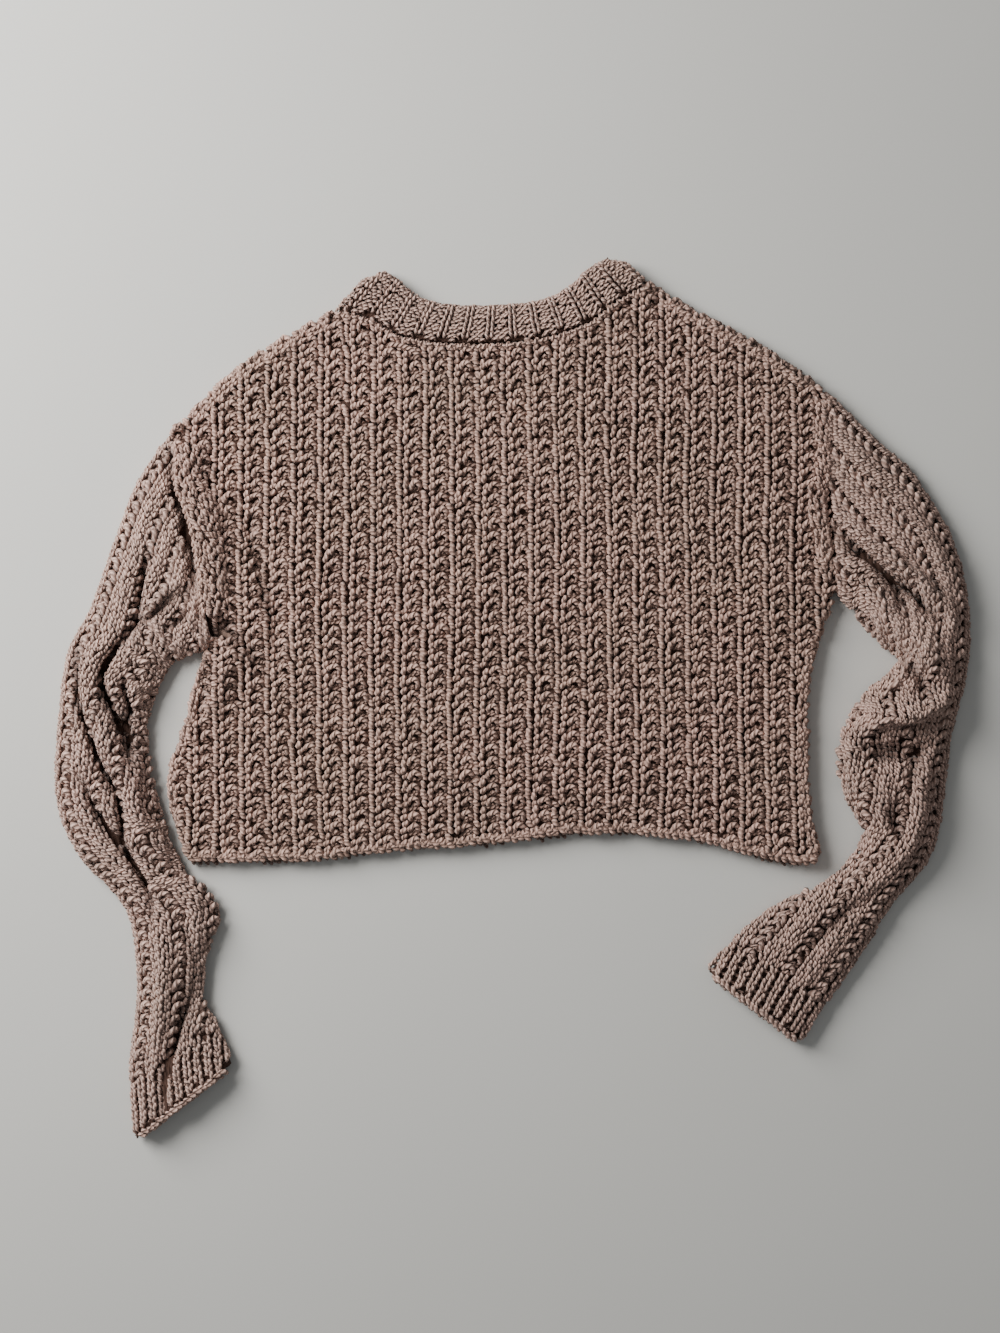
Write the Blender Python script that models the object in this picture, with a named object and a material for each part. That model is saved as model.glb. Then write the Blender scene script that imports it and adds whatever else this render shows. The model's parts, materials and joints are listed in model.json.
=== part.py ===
"""Cropped crew-neck sweater in chunky knit, laid flat with its back uppermost.

Metres, +Z up, hem towards -Y, neck towards +Y, floor at z = 0. The back lies on the
front, the two sleeves are flattened tubes that lie bent beside the body, and every
layer of knit is a closed wall. Layers and seams are a small gap apart.
"""

from collections import namedtuple
import math

import bpy
import bmesh
import numpy as np

MM = 0.001

# Driving sizes
WALL = 5.0 * MM                       # one layer of knit
GAP = 0.3 * MM                        # clear space between layers and at seams
LAYERED = 2 * WALL + GAP              # two layers that lie on each other
FOLDED_EDGE = LAYERED / 2             # radius of a tube's folded edge
FRONT_NECK_DROP = 34.0 * MM           # how far the front neck is below the back neck
EDGE_SHARES = (0.35, 0.76, 1.0)       # wall left at the edge, and at the next two stations
EDGE_STATIONS = (0.0, 1.6 * MM, 5.2 * MM)

# How finely each form is divided
SHOULDER_STEPS = 5
NECK_STEPS = 12
SIDE_STEPS = 8
ARMHOLE_STEPS = 7
SLEEVE_SECTIONS = 27
CUFF_SECTIONS = 4
ACROSS_TOP = 14
ACROSS_BOTTOM = 5

Point = namedtuple("Point", "x y")
Section = namedtuple("Section", "outer_x outer_y inner_x inner_y loft")
Fold = namedtuple("Fold", "rise reach route")
Finish = namedtuple("Finish", "name color roughness")

# Outline of the body, in millimetres, each edge from hem to shoulder or from left to right
HEM = (
    Point(-258, -127), Point(-202, -127), Point(-150, -125), Point(-98, -118),
    Point(-10, -112), Point(62, -104), Point(142, -109), Point(214, -127), Point(246, -128),
)
LEFT_SIDE = (
    Point(-258, -127), Point(-269, -95), Point(-274, -62), Point(-262, -27),
    Point(-254, 6), Point(-240, 48),
)
RIGHT_SIDE = (
    Point(246, -128), Point(238, -94), Point(235, -50), Point(237, 20), Point(257, 85),
)
LEFT_SHOULDER = (Point(-268, 214), Point(-228, 255), Point(-190, 282), Point(-141, 309))
RIGHT_SHOULDER = (Point(109, 330), Point(149, 307), Point(207, 275), Point(245, 248))
NECK_SEAM = (
    Point(-141, 309), Point(-114, 303), Point(-90, 290), Point(-60, 284), Point(-20, 283),
    Point(22, 287), Point(60, 299), Point(84, 317), Point(109, 330),
)
NECK_RIM = (
    Point(-110, 343), Point(-94, 335), Point(-74, 319), Point(-52, 313), Point(-16, 312),
    Point(22, 316), Point(44, 326), Point(62, 342), Point(84, 353),
)

# Sleeves, in millimetres, from armhole to cuff; loft is the air between the two layers
RIGHT_SLEEVE = (
    Section(245, 248, 257, 85, 0),
    Section(284, 210, 275, 66, 5),
    Section(311, 186, 286, 51, 8),
    Section(332, 158, 297, 42, 9),
    Section(350, 124, 306, 35, 10),
    Section(361, 84, 309, 29, 11),
    Section(363, 40, 298, 17, 12),
    Section(358, 8, 277, -2, 12),
    Section(349, -28, 260, -38, 12),
    Section(343, -74, 263, -70, 12),
    Section(339, -104, 275, -94, 11),
    Section(329, -131, 278, -115, 10),
    Section(304, -160, 258, -142, 9),
    Section(279, -200, 214, -164, 8),
    Section(250, -242, 176, -194, 6),
)
RIGHT_CUFF = (Section(250, -242, 176, -194, 6), Section(231, -274, 155, -216, 7))
LEFT_SLEEVE = (
    Section(-268, 214, -240, 48, 0),
    Section(-293, 179, -244, 41, 5),
    Section(-306, 151, -250, 37, 7),
    Section(-321, 110, -262, 33, 8),
    Section(-336, 68, -274, 25, 9),
    Section(-353, 36, -284, 4, 10),
    Section(-360, -14, -291, -18, 10),
    Section(-363, -60, -288, -58, 10),
    Section(-358, -96, -282, -84, 10),
    Section(-342, -128, -272, -112, 9),
    Section(-318, -152, -263, -136, 9),
    Section(-304, -174, -241, -155, 8),
    Section(-299, -202, -234, -176, 8),
    Section(-297, -230, -243, -205, 7),
    Section(-300, -262, -246, -237, 6),
    Section(-304, -305, -235, -262, 6),
)
LEFT_CUFF = (Section(-304, -305, -235, -262, 6), Section(-301, -351, -222, -290, 7))

# The largest folds, in millimetres: rise above the cloth, reach to each side, and route
BACK_SWELLS = (
    Fold(3.6, 24, (Point(-212, 176), Point(-206, 90), Point(-222, -12))),
    Fold(3.4, 22, (Point(196, 208), Point(206, 112), Point(188, 22))),
    Fold(2.8, 26, (Point(-84, -66), Point(20, -52), Point(128, -62))),
)
RIGHT_FOLDS = (
    Fold(7, 13, (Point(262, 176), Point(300, 140), Point(328, 84), Point(340, 50))),
    Fold(-7, 9, (Point(255, 150), Point(286, 130), Point(306, 100), Point(314, 62))),
    Fold(6, 10, (Point(262, 120), Point(282, 107), Point(300, 84))),
    Fold(15, 14, (Point(292, 62), Point(325, 52), Point(350, 24), Point(352, -4))),
    Fold(-9, 9, (Point(284, 26), Point(308, 20), Point(334, 4))),
    Fold(14, 13, (Point(264, -30), Point(298, -14), Point(336, -12))),
    Fold(-12, 12, (Point(284, -40), Point(312, -46), Point(330, -34))),
    Fold(8, 10, (Point(262, -56), Point(280, -76), Point(300, -88))),
    Fold(7, 10, (Point(326, -62), Point(324, -96), Point(304, -124))),
    Fold(-6, 8, (Point(300, -142), Point(262, -168), Point(222, -206))),
    Fold(5, 9, (Point(288, -172), Point(252, -206), Point(222, -232))),
)
LEFT_FOLDS = (
    Fold(5, 12, (Point(-276, 176), Point(-284, 118), Point(-288, 66))),
    Fold(-7, 8, (Point(-291, 112), Point(-302, 54), Point(-322, 14), Point(-312, -30))),
    Fold(6, 11, (Point(-318, 92), Point(-334, 40), Point(-336, -20))),
    Fold(5, 9, (Point(-296, -12), Point(-300, -52), Point(-304, -92))),
    Fold(-7, 8, (Point(-344, -2), Point(-334, -54), Point(-318, -108), Point(-288, -152))),
    Fold(6, 10, (Point(-296, -96), Point(-268, -138), Point(-246, -168))),
    Fold(-6, 8, (Point(-262, -178), Point(-256, -206), Point(-264, -246))),
    Fold(6, 10, (Point(-282, -192), Point(-282, -232), Point(-284, -280))),
)

WOOL = Finish("wool", (0.40, 0.29, 0.245, 1.0), 0.95)
WOOL_BENEATH = Finish("wool_beneath", (0.34, 0.245, 0.205, 1.0), 0.95)
RIB = Finish("rib", (0.43, 0.315, 0.265, 1.0), 0.95)


def metres(rows):
    """The x and y of a table of points, in metres, as an array."""
    return np.array([(row.x, row.y) for row in rows], float) * MM


def smooth(knots, shares):
    """Rows on a Catmull-Rom curve through knots, at shares of its length from 0 to 1."""
    knots = np.asarray(knots, float)
    padded = np.vstack([2 * knots[0] - knots[1], knots, 2 * knots[-1] - knots[-2]])
    dense = []
    for before, start, end, after in zip(padded, padded[1:], padded[2:], padded[3:]):
        for t in np.linspace(0, 1, 16, endpoint=False):
            bend = (2 * before - 5 * start + 4 * end - after) * t * t
            twist = (3 * start - before - 3 * end + after) * t ** 3
            dense.append(0.5 * (2 * start + (end - before) * t + bend + twist))
    dense = np.array(dense + [knots[-1]])
    steps = np.linalg.norm(np.diff(dense, axis=0), axis=1)
    run = np.concatenate([[0], np.cumsum(steps)]) / steps.sum()
    columns = [np.interp(shares, run, column) for column in dense.T]
    return np.stack(columns, axis=1)


def unit(vectors):
    """The same directions with length one."""
    return vectors / np.linalg.norm(vectors, axis=-1, keepdims=True)


def make_object(name, vertices, faces, finish, parent):
    """One closed, outward-facing body as an object in the sweater's collection."""
    mesh = bpy.data.meshes.new(name)
    mesh.from_pydata([tuple(vertex) for vertex in vertices], [], faces)
    form = bmesh.new()
    form.from_mesh(mesh)
    bmesh.ops.triangulate(form, faces=form.faces, quad_method="SHORT_EDGE")
    bmesh.ops.recalc_face_normals(form, faces=form.faces)
    form.to_mesh(mesh)
    form.free()
    mesh.shade_smooth()
    mesh.materials.append(make_material(finish))
    made = bpy.data.objects.new(name, mesh)
    made.parent = parent
    bpy.data.collections["sweater"].objects.link(made)
    return made


def make_material(finish):
    """The Principled material of a finish, made once."""
    found = bpy.data.materials.get(finish.name)
    if found:
        return found
    material = bpy.data.materials.new(finish.name)
    material.use_nodes = True
    shader = material.node_tree.nodes["Principled BSDF"]
    shader.inputs["Base Color"].default_value = finish.color
    shader.inputs["Roughness"].default_value = finish.roughness
    shader.inputs["Metallic"].default_value = 0.0
    return material


def grid_faces(rows, columns, start, closed=False):
    """Quads over a grid of vertices, whose columns join up when it is closed."""
    faces = []
    for row in range(rows - 1):
        for column in range(columns if closed else columns - 1):
            here = start + row * columns + column
            beside = start + row * columns + (column + 1) % columns
            faces.append((here, beside, beside + columns, here + columns))
    return faces


def fold_rise(points, folds):
    """Height that the folds add at each point, fading to each side and at their ends."""
    rise = np.zeros(len(points))
    for fold in folds:
        route = smooth(metres(fold.route), np.linspace(0, 1, 25))
        apart = np.linalg.norm(points[:, None] - route[None], axis=2)
        nearest = apart.argmin(axis=1)
        fade = np.sin(math.pi * (0.12 + 0.76 * nearest / 24))
        rise += fold.rise * MM * fade * np.exp(-((apart.min(axis=1) / (fold.reach * MM)) ** 2))
    return rise


# Body panels

def neck_seam(front):
    """Stations along the neck seam of the back, or of the deeper front."""
    shares = np.linspace(0, 1, NECK_STEPS + 1)
    seam = smooth(metres(NECK_SEAM), shares)
    if front:
        seam[:, 1] -= FRONT_NECK_DROP * np.sin(math.pi * shares) ** 0.7
    return seam


def top_edge(front):
    """Stations along left shoulder, neck and right shoulder, closer at the outer ends."""
    width = np.linspace(0, 1, SHOULDER_STEPS + 1)
    length = np.linalg.norm(metres(LEFT_SHOULDER)[0] - metres(LEFT_SHOULDER)[-1])
    near = np.array(EDGE_STATIONS) / length
    shares = np.concatenate([near, width[1:]])
    left = smooth(metres(LEFT_SHOULDER), shares)
    right = smooth(metres(RIGHT_SHOULDER), 1 - shares[::-1])
    return np.vstack([left[:-1], neck_seam(front), right[1:]])


def side_edge(side, shoulder_tip):
    """Stations from hem to underarm on the side's curve, then straight up the armhole."""
    near = np.array(EDGE_STATIONS) / np.linalg.norm(side[0] - side[-1])
    shares = np.concatenate([near, np.linspace(0, 1, SIDE_STEPS + 1)[1:]])
    curve = smooth(side, shares)
    depth = np.linalg.norm(shoulder_tip - side[-1])
    steps = np.linspace(0, 1, ARMHOLE_STEPS + 1)[1:-1]
    steps = np.concatenate([steps, 1 - np.array(EDGE_STATIONS)[::-1] / depth])
    armhole = side[-1] + steps[:, None] * (shoulder_tip - side[-1])
    return np.vstack([curve, armhole])


def coons_patch(bottom, top, left, right):
    """Points between four edges: rows from bottom to top, columns from left to right."""
    across = (top[:, 0] - top[0, 0]) / (top[-1, 0] - top[0, 0])
    steps = np.linalg.norm(np.diff(left, axis=0), axis=1)
    up = np.concatenate([[0], np.cumsum(steps)]) / steps.sum()
    u, v = across[None, :, None], up[:, None, None]
    ruled = (1 - v) * bottom[None] + v * top[None] + (1 - u) * left[:, None] + u * right[:, None]
    corners = (
        (1 - u) * (1 - v) * bottom[0] + u * (1 - v) * bottom[-1]
        + (1 - u) * v * top[0] + u * v * top[-1]
    )
    return ruled - corners


def wall_shares(rows, columns):
    """How much of the wall each station of a panel keeps, less at its rounded edges."""
    edge = np.array(EDGE_SHARES)
    last = len(edge)
    shares = np.ones((rows, columns))
    shares[:last] *= edge[:, None]
    side_rows = last + SIDE_STEPS - 1
    shares[:side_rows, :last] *= edge
    shares[:side_rows, -last:] *= edge[::-1]
    shoulder = last + SHOULDER_STEPS - 1
    shares[-last:, :shoulder] *= edge[::-1, None]
    shares[-last:, -shoulder:] *= edge[::-1, None]
    return shares


def make_panel(name, front, folds, finish, parent):
    """The front, flat on the floor, or the back, which lies on it and swells in places."""
    top = top_edge(front)
    left = side_edge(metres(LEFT_SIDE), top[0])
    right = side_edge(metres(RIGHT_SIDE), top[-1])
    across = (top[:, 0] - top[0, 0]) / (top[-1, 0] - top[0, 0])
    plan = coons_patch(smooth(metres(HEM), across), top, left, right)
    rows, columns = plan.shape[:2]
    thickness = WALL * wall_shares(rows, columns)
    lift = fold_rise(plan.reshape(-1, 2), folds).reshape(rows, columns)
    facing = LAYERED / 2 + (-GAP / 2 if front else GAP / 2) + np.maximum(lift, 0.0)
    outer = facing - thickness if front else facing + thickness
    sheets = []
    for height in (outer, facing):
        sheets.append(np.dstack([plan, height]).reshape(-1, 3))
    count = rows * columns
    faces = grid_faces(rows, columns, 0) + grid_faces(rows, columns, count)
    rim = list(range(columns))
    rim += [row * columns + columns - 1 for row in range(1, rows)]
    rim += [(rows - 1) * columns + column for column in range(columns - 2, -1, -1)]
    rim += [row * columns for row in range(rows - 2, 0, -1)]
    for here, beside in zip(rim, rim[1:] + rim[:1]):
        faces.append((here, beside, beside + count, here + count))
    return make_object(name, np.vstack(sheets), faces, finish, parent)


# Neckband

def neck_rim(front):
    """Stations along the band's free edge, over the neck seam's own stations."""
    shares = np.linspace(0, 1, NECK_STEPS + 1)
    rim = smooth(metres(NECK_RIM), shares)
    if front:
        rim[:, 1] -= (FRONT_NECK_DROP + 3 * MM) * np.sin(math.pi * shares) ** 0.7
    return rim


def band_stations():
    """Seam, rim, height and outward direction of the band, once round the neck."""
    above, below = GAP / 2 + WALL / 2, -GAP / 2 - WALL / 2
    stations = []
    back_seam, back_rim = neck_seam(front=False), neck_rim(front=False)
    front_seam, front_rim = neck_seam(front=True), neck_rim(front=True)
    up = np.array((0.0, 0.0, 1.0))
    turn = np.radians((45, 0, -45))
    for end, sign in ((-1, 1), (0, -1)):
        seams = (back_seam, back_rim) if end == -1 else (front_seam, front_rim)
        height = above if end == -1 else below
        outward = up if end == -1 else -up
        order = range(NECK_STEPS + 1) if end == -1 else range(NECK_STEPS, -1, -1)
        for index in order:
            stations.append((seams[0][index], seams[1][index], height, outward))
        fold = unit(back_rim[end] - back_seam[end])
        aside = np.array((fold[1], -fold[0])) * sign
        for angle in turn * sign:
            shift = aside * above * math.cos(angle)
            outward = np.array((*(aside * math.cos(angle)), math.sin(angle)))
            stations.append((back_seam[end] + shift, back_rim[end] + shift,
                             above * math.sin(angle), outward))
    return stations


def make_neckband(name, finish, parent):
    """The ribbed band, one ring folded flat at both shoulders."""
    profile = ((0, -0.5), (0, 0.5), (0.55, 0.5), (0.92, 0.5), (1, 0.2), (1, -0.2), (0.92, -0.5))
    vertices = []
    for seam, rim, height, outward in band_stations():
        along = rim - seam
        start = seam + unit(along) * GAP
        for share, side in profile:
            flat = start + (rim - start) * share
            point = np.array((*flat, LAYERED / 2 + height))
            vertices.append(point + outward * WALL * side)
    rows, columns = len(band_stations()), len(profile)
    faces = grid_faces(rows, columns, 0, closed=True)
    last = (rows - 1) * columns
    for column in range(columns):
        beside = (column + 1) % columns
        faces.append((last + column, last + beside, beside, column))
    return make_object(name, vertices, faces, finish, parent)


# Sleeves and cuffs

def tube_section(outer, inner, loft, folds):
    """The outer and inner rings of a flattened tube between two edge points."""
    width = np.linalg.norm(inner - outer)
    across = (inner - outer) / width

    def place(distance, height):
        return np.column_stack([outer + distance[:, None] * across, height])

    u = np.linspace(0, 1, ACROSS_TOP + 1)
    top_run = FOLDED_EDGE + (width - 2 * FOLDED_EDGE) * u
    dome = loft * (4 * u * (1 - u)) ** 0.55
    ground = outer + top_run[:, None] * across
    lift = dome + fold_rise(ground, folds) * np.sin(math.pi * u) ** 0.5 * min(1, loft / (5 * MM))
    top_height = LAYERED + np.maximum(lift, 0.0)
    arc = math.sqrt(0.5) * FOLDED_EDGE
    far_run = width - FOLDED_EDGE + np.array((arc, FOLDED_EDGE, arc))
    near_run = FOLDED_EDGE - np.array((arc, FOLDED_EDGE, arc))
    arc_height = FOLDED_EDGE + np.array((arc, 0.0, -arc))
    bottom_u = np.linspace(1, 0, ACROSS_BOTTOM + 1)
    bottom_run = FOLDED_EDGE + (width - 2 * FOLDED_EDGE) * bottom_u
    outside = np.vstack([
        place(top_run, top_height),
        place(far_run, arc_height),
        place(bottom_run, np.zeros_like(bottom_run)),
        place(near_run, arc_height[::-1]),
    ])
    inside = np.vstack([
        place(top_run, top_height - WALL),
        place(bottom_run, np.full_like(bottom_run, WALL)),
    ])
    return outside, inside


def ring_matches():
    """For each station of the outer ring, the station of the inner ring beside it."""
    top, bottom = ACROSS_TOP + 1, ACROSS_BOTTOM + 1
    matches = list(range(top)) + [top - 1, top - 1, top]
    matches += list(range(top, top + bottom)) + [top + bottom - 1, top + bottom - 1, 0]
    return matches


def make_tube(name, table, sections, lead_gap, folds, finish, parent):
    """A flattened open tube along a table of sections, its start set back by lead_gap."""
    rows = np.array([tuple(row) for row in table], float) * MM
    rows = smooth(rows, np.linspace(0, 1, sections)) if len(rows) > 2 else np.array([
        rows[0] + (rows[1] - rows[0]) * share for share in np.linspace(0, 1, sections)
    ])
    onward = unit((rows[1] - rows[0])[:4].reshape(2, 2).sum(axis=0))
    rows[0, :4] += np.tile(onward * lead_gap, 2)
    rings = [tube_section(row[0:2], row[2:4], row[4], folds) for row in rows]
    outside = np.vstack([ring[0] for ring in rings])
    inside = np.vstack([ring[1] for ring in rings])
    outer_count, inner_count = len(rings[0][0]), len(rings[0][1])
    start = len(outside)
    faces = grid_faces(sections, outer_count, 0, closed=True)
    faces += grid_faces(sections, inner_count, start, closed=True)
    matches = ring_matches()
    for end in (0, sections - 1):
        outer_start, inner_start = end * outer_count, start + end * inner_count
        for here in range(outer_count):
            beside = (here + 1) % outer_count
            face = [outer_start + here, outer_start + beside, inner_start + matches[beside]]
            if matches[here] != matches[beside]:
                face.append(inner_start + matches[here])
            faces.append(tuple(face))
    return make_object(name, np.vstack([outside, inside]), faces, finish, parent)


def main():
    """Builds the sweater's seven pieces, centred on the origin."""
    for found in list(bpy.data.objects):
        bpy.data.objects.remove(found)
    collection = bpy.data.collections.new("sweater")
    bpy.context.scene.collection.children.link(collection)
    root = bpy.data.objects.new("sweater_origin", None)
    collection.objects.link(root)

    make_panel("front_panel", True, (), WOOL_BENEATH, root)
    make_panel("back_panel", False, BACK_SWELLS, WOOL, root)
    make_neckband("neckband", RIB, root)
    make_tube("left_sleeve", LEFT_SLEEVE, SLEEVE_SECTIONS, GAP, LEFT_FOLDS, WOOL, root)
    make_tube("right_sleeve", RIGHT_SLEEVE, SLEEVE_SECTIONS, GAP, RIGHT_FOLDS, WOOL, root)
    make_tube("left_cuff", LEFT_CUFF, CUFF_SECTIONS, GAP, (), RIB, root)
    make_tube("right_cuff", RIGHT_CUFF, CUFF_SECTIONS, GAP, (), RIB, root)

    corners = []
    for piece in root.children:
        corners += [vertex.co for vertex in piece.data.vertices]
    corners = np.array(corners)
    middle = (corners.min(axis=0) + corners.max(axis=0)) / 2
    root.location = (-middle[0], -middle[1], 0.0)


main()
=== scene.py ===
"""Looks of the cropped knit sweater: yarn stitches on thin cloth shells, laid on a plain floor.

Lengths are in metres, and the tables of outlines, sections, creases and stitches are in
millimetres. Every cloth is a Surface, a smooth grid of points over the garment's form.
Stitches are charted flat, in the cloth's own columns and rows, and then mapped onto it.
"""

from __future__ import annotations

from dataclasses import dataclass
from enum import Enum
import json
import logging
import math
from typing import Callable, NamedTuple, Sequence

import bpy
import numpy as np
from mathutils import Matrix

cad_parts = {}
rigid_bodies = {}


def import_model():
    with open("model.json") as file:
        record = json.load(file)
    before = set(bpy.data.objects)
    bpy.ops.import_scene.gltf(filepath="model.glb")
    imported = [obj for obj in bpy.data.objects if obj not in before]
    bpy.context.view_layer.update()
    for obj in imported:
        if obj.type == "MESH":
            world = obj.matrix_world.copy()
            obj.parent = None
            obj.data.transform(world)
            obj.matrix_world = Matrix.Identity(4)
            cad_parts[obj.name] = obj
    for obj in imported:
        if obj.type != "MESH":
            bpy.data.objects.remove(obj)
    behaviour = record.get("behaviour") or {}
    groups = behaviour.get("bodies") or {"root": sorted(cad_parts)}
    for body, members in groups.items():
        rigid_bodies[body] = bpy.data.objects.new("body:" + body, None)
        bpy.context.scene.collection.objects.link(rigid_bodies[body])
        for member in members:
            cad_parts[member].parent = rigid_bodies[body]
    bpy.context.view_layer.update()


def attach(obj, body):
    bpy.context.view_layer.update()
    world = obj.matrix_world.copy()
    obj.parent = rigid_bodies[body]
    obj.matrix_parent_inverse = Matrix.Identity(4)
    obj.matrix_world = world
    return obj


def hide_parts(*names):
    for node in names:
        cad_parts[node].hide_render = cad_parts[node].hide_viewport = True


LOG = logging.getLogger("sweater")
MM = 0.001
Point = tuple[float, float]  # a place in plan, in millimetres
Route = tuple[Point, ...]
Colour = tuple[float, float, float, float]
Keep = Callable[[np.ndarray], np.ndarray]  # says which places belong to a piece


# --------------------------------------------------------------------------- sizes and tables

class Section(NamedTuple):
    """A section of a sleeve: its outer and inner edge, and how far its layers are apart."""

    outer_x: float
    outer_y: float
    inner_x: float
    inner_y: float
    loft: float


class Crease(NamedTuple):
    """A ridge or trough: height, reach to each side, lean of its crest to the left, route."""

    rise: float
    reach: float
    lean: float
    route: Route


class Band(NamedTuple):
    """A raised band of plain columns along a seam, in millimetres."""

    rise: float
    half: float
    crown: float
    wobble: float
    columns: tuple[float, ...]
    edge: float
    route: Route


class Slot(Enum):
    """The record's material slots."""

    BODY = "knit_body"
    BENEATH = "knit_beneath"
    SLEEVES = "knit_sleeves"
    RIB = "rib"


@dataclass(frozen=True)
class Sizes:
    """Driving sizes of the garment and its knit, in metres."""

    origin_x: float = -0.12 * MM  # the tables' own origin, in the frame
    origin_y: float = -2.34 * MM
    lane: float = 20.9 * MM  # one repeat of the body's pattern, across
    cell: float = 10.5 * MM  # one repeat of the body's pattern, along
    row: float = 6.0 * MM  # one row of plain stitches
    sleeve_lane: float = 31.4 * MM  # an open band and a smooth band of the sleeves
    vee: float = 6.2 * MM  # one plain column of the sleeves
    rib: float = 19.6 * MM  # one rib of the neckband
    cuff_rib: float = 9.6 * MM  # one rib of a cuff
    yarn: float = 2.25 * MM  # radius of the yarn
    face: float = 10.3 * MM  # height of the uppermost cloth's face
    under: float = 2.5 * MM  # lowest height of a face that turns under
    roll: float = 5.0 * MM  # radius of a folded edge in plan
    sink: float = 3.0 * MM  # how far the cloth's shell is below its face
    shell: float = 1.2 * MM  # thickness of the shell
    grid: float = 2.0 * MM  # spacing of a Surface's points
    hollow: float = 4.6 * MM  # lowest height of a trough's floor
    shade_reach: float = 10.0 * MM  # how far round a place its height is compared, for painted shade
    shade_depth: float = 4.6 * MM  # depth at which a hollow is fully in painted shade
    painted_dark_limit: float = 0.62  # painted darkness past which no stitch is kept, so the shell shows as painted shade
    crease_depth: float = 15.0 * MM  # depth at which a narrow crease's painted shade is black
    slit: float = 4.2 * MM  # widest reach of a crease that closes to a slit


@dataclass(frozen=True)
class Folds:
    """How ridges, troughs and sleeves are shaped."""

    samples: int = 17  # points on a crease's route
    end: float = 0.12  # a crease's fade at its ends, in half waves
    span: float = 0.76  # and how many of them it goes through between
    ridge: float = 2.0  # steepness of a ridge's sides
    trough: float = 3.2  # steepness of a trough's sides
    round_top: float = 0.55  # fullness of a sleeve's section
    full_loft: float = 8 * MM  # loft past which creases have their whole height
    least_ease: float = 0.4  # their share of it in a sleeve with no loft


@dataclass(frozen=True)
class Chance:
    """How unlike each other the stitches are."""

    turn: float = 0.17  # radians
    width: float = 0.07  # share
    place: float = 0.42  # millimetres
    bend: float = 0.22  # millimetres, at each knot
    height: float = 0.15  # yarn radii
    girth: float = 0.06  # share


@dataclass(frozen=True)
class Shade:
    """Painted shade on a strand, by its place among its surroundings, and its brightness by
    chance.
    """

    depth: float = 0.3  # painted shade of a full depth, with no crease
    hollow: float = 1.25  # loss to painted shade in the darkest hollow
    sunk: float = 0.22  # painted shade for each yarn radius below the face
    sunk_most: float = 1.6  # yarn radii past which it gets no more painted shade
    lowest: float = 0.80  # the darkest strand's share, by chance
    spread: float = 0.40  # from the darkest strand to the brightest
    least: float = 0.08
    most: float = 1.2


SIZES, FOLDS, CHANCE, SHADE = Sizes(), Folds(), Chance(), Shade()
CURVE_STEPS = 16  # points from one knot of a curve to the next
STRIP_HALF = 8 * MM  # half of the width of a seam's strip
LONGEST = 12 * MM  # a strand's segments are never longer
CAP = 0.7  # length of a tube's pointed cap, in radii
CAP_SHARE = 0.08  # of a strand's square in the atlas, for each cap
ATLAS_EDGE = 0.06  # empty edge of a strand's square in the atlas
FLOOR_GAP = 0.1 * MM  # yarn stays this far over the floor
CLOTH_GAP = 0.4 * MM  # and the cloth's under side this far
RING_TOP, RING_TURN, RING_UNDER = 71, 13, 12  # points of a section: top, edge, beneath
SIDE_LEVEL = 1.0 * MM  # a face's top is within this of its height

LEFT_SIDE = (
    (-258, -127), (-269, -95), (-274, -62), (-262, -27), (-254, 6), (-240, 48),
)
RIGHT_SIDE = (
    (246, -128), (238, -94), (235, -50), (237, 20), (257, 85),
)
HEM = (
    (-258, -127), (-202, -127), (-150, -125), (-98, -118), (-10, -112), (62, -104), (142, -109),
    (214, -127), (246, -128),
)
LEFT_SHOULDER = (
    (-268, 214), (-228, 255), (-190, 282), (-141, 309),
)
RIGHT_SHOULDER = (
    (109, 330), (149, 307), (207, 275), (245, 248),
)
NECK_SEAM = (
    (-141, 309), (-114, 303), (-90, 290), (-60, 284), (-20, 283), (22, 287), (60, 299), (84, 317),
    (109, 330),
)
NECK_RIM = (
    (-110, 343), (-94, 335), (-74, 319), (-52, 313), (-16, 312), (22, 316), (44, 326), (62, 342),
    (84, 353),
)
ARMHOLE_BANDS = (
    Band(9.5, 11, 8, 0.8, (-12.4, -6.2, 0, 6.2), 9.4, (
        (-259, 207), (-257, 174), (-249, 148), (-241, 122), (-239, 94), (-235, 64))),
    Band(3.4, 6, 5, 1.3, (-3.1, 3.1), -6.0, (
        (246, 243), (248, 206), (243, 158), (247, 118), (255, 90))),
)

RIGHT_SLEEVE = tuple(Section(*row) for row in (
    (245, 248, 257, 85, 0), (284, 210, 275, 66, 5), (311, 186, 286, 51, 8), (332, 158, 297, 42, 9),
    (350, 124, 306, 35, 10), (361, 84, 309, 29, 11), (363, 40, 298, 17, 12), (358, 8, 277, -2, 12),
    (349, -28, 260, -38, 12), (343, -74, 263, -70, 12), (339, -104, 275, -94, 11),
    (329, -131, 278, -115, 10), (304, -160, 258, -142, 9), (279, -200, 214, -164, 8),
    (250, -242, 176, -194, 6),
))
RIGHT_CUFF = (Section(250, -242, 176, -194, 6), Section(231, -274, 155, -216, 7))
LEFT_SLEEVE = tuple(Section(*row) for row in (
    (-268, 214, -240, 48, 0), (-293, 179, -244, 41, 5), (-306, 151, -250, 37, 7),
    (-321, 110, -262, 33, 8), (-336, 68, -274, 25, 9), (-353, 36, -284, 4, 10),
    (-360, -14, -291, -18, 10), (-363, -60, -288, -58, 10), (-358, -96, -282, -84, 10),
    (-342, -128, -272, -112, 9), (-318, -152, -263, -136, 9), (-304, -174, -241, -155, 8),
    (-299, -202, -234, -176, 8), (-297, -230, -243, -205, 7), (-300, -262, -246, -237, 6),
    (-304, -305, -235, -262, 6),
))
LEFT_CUFF = (Section(-304, -305, -235, -262, 6), Section(-301, -351, -222, -290, 7))

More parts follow.
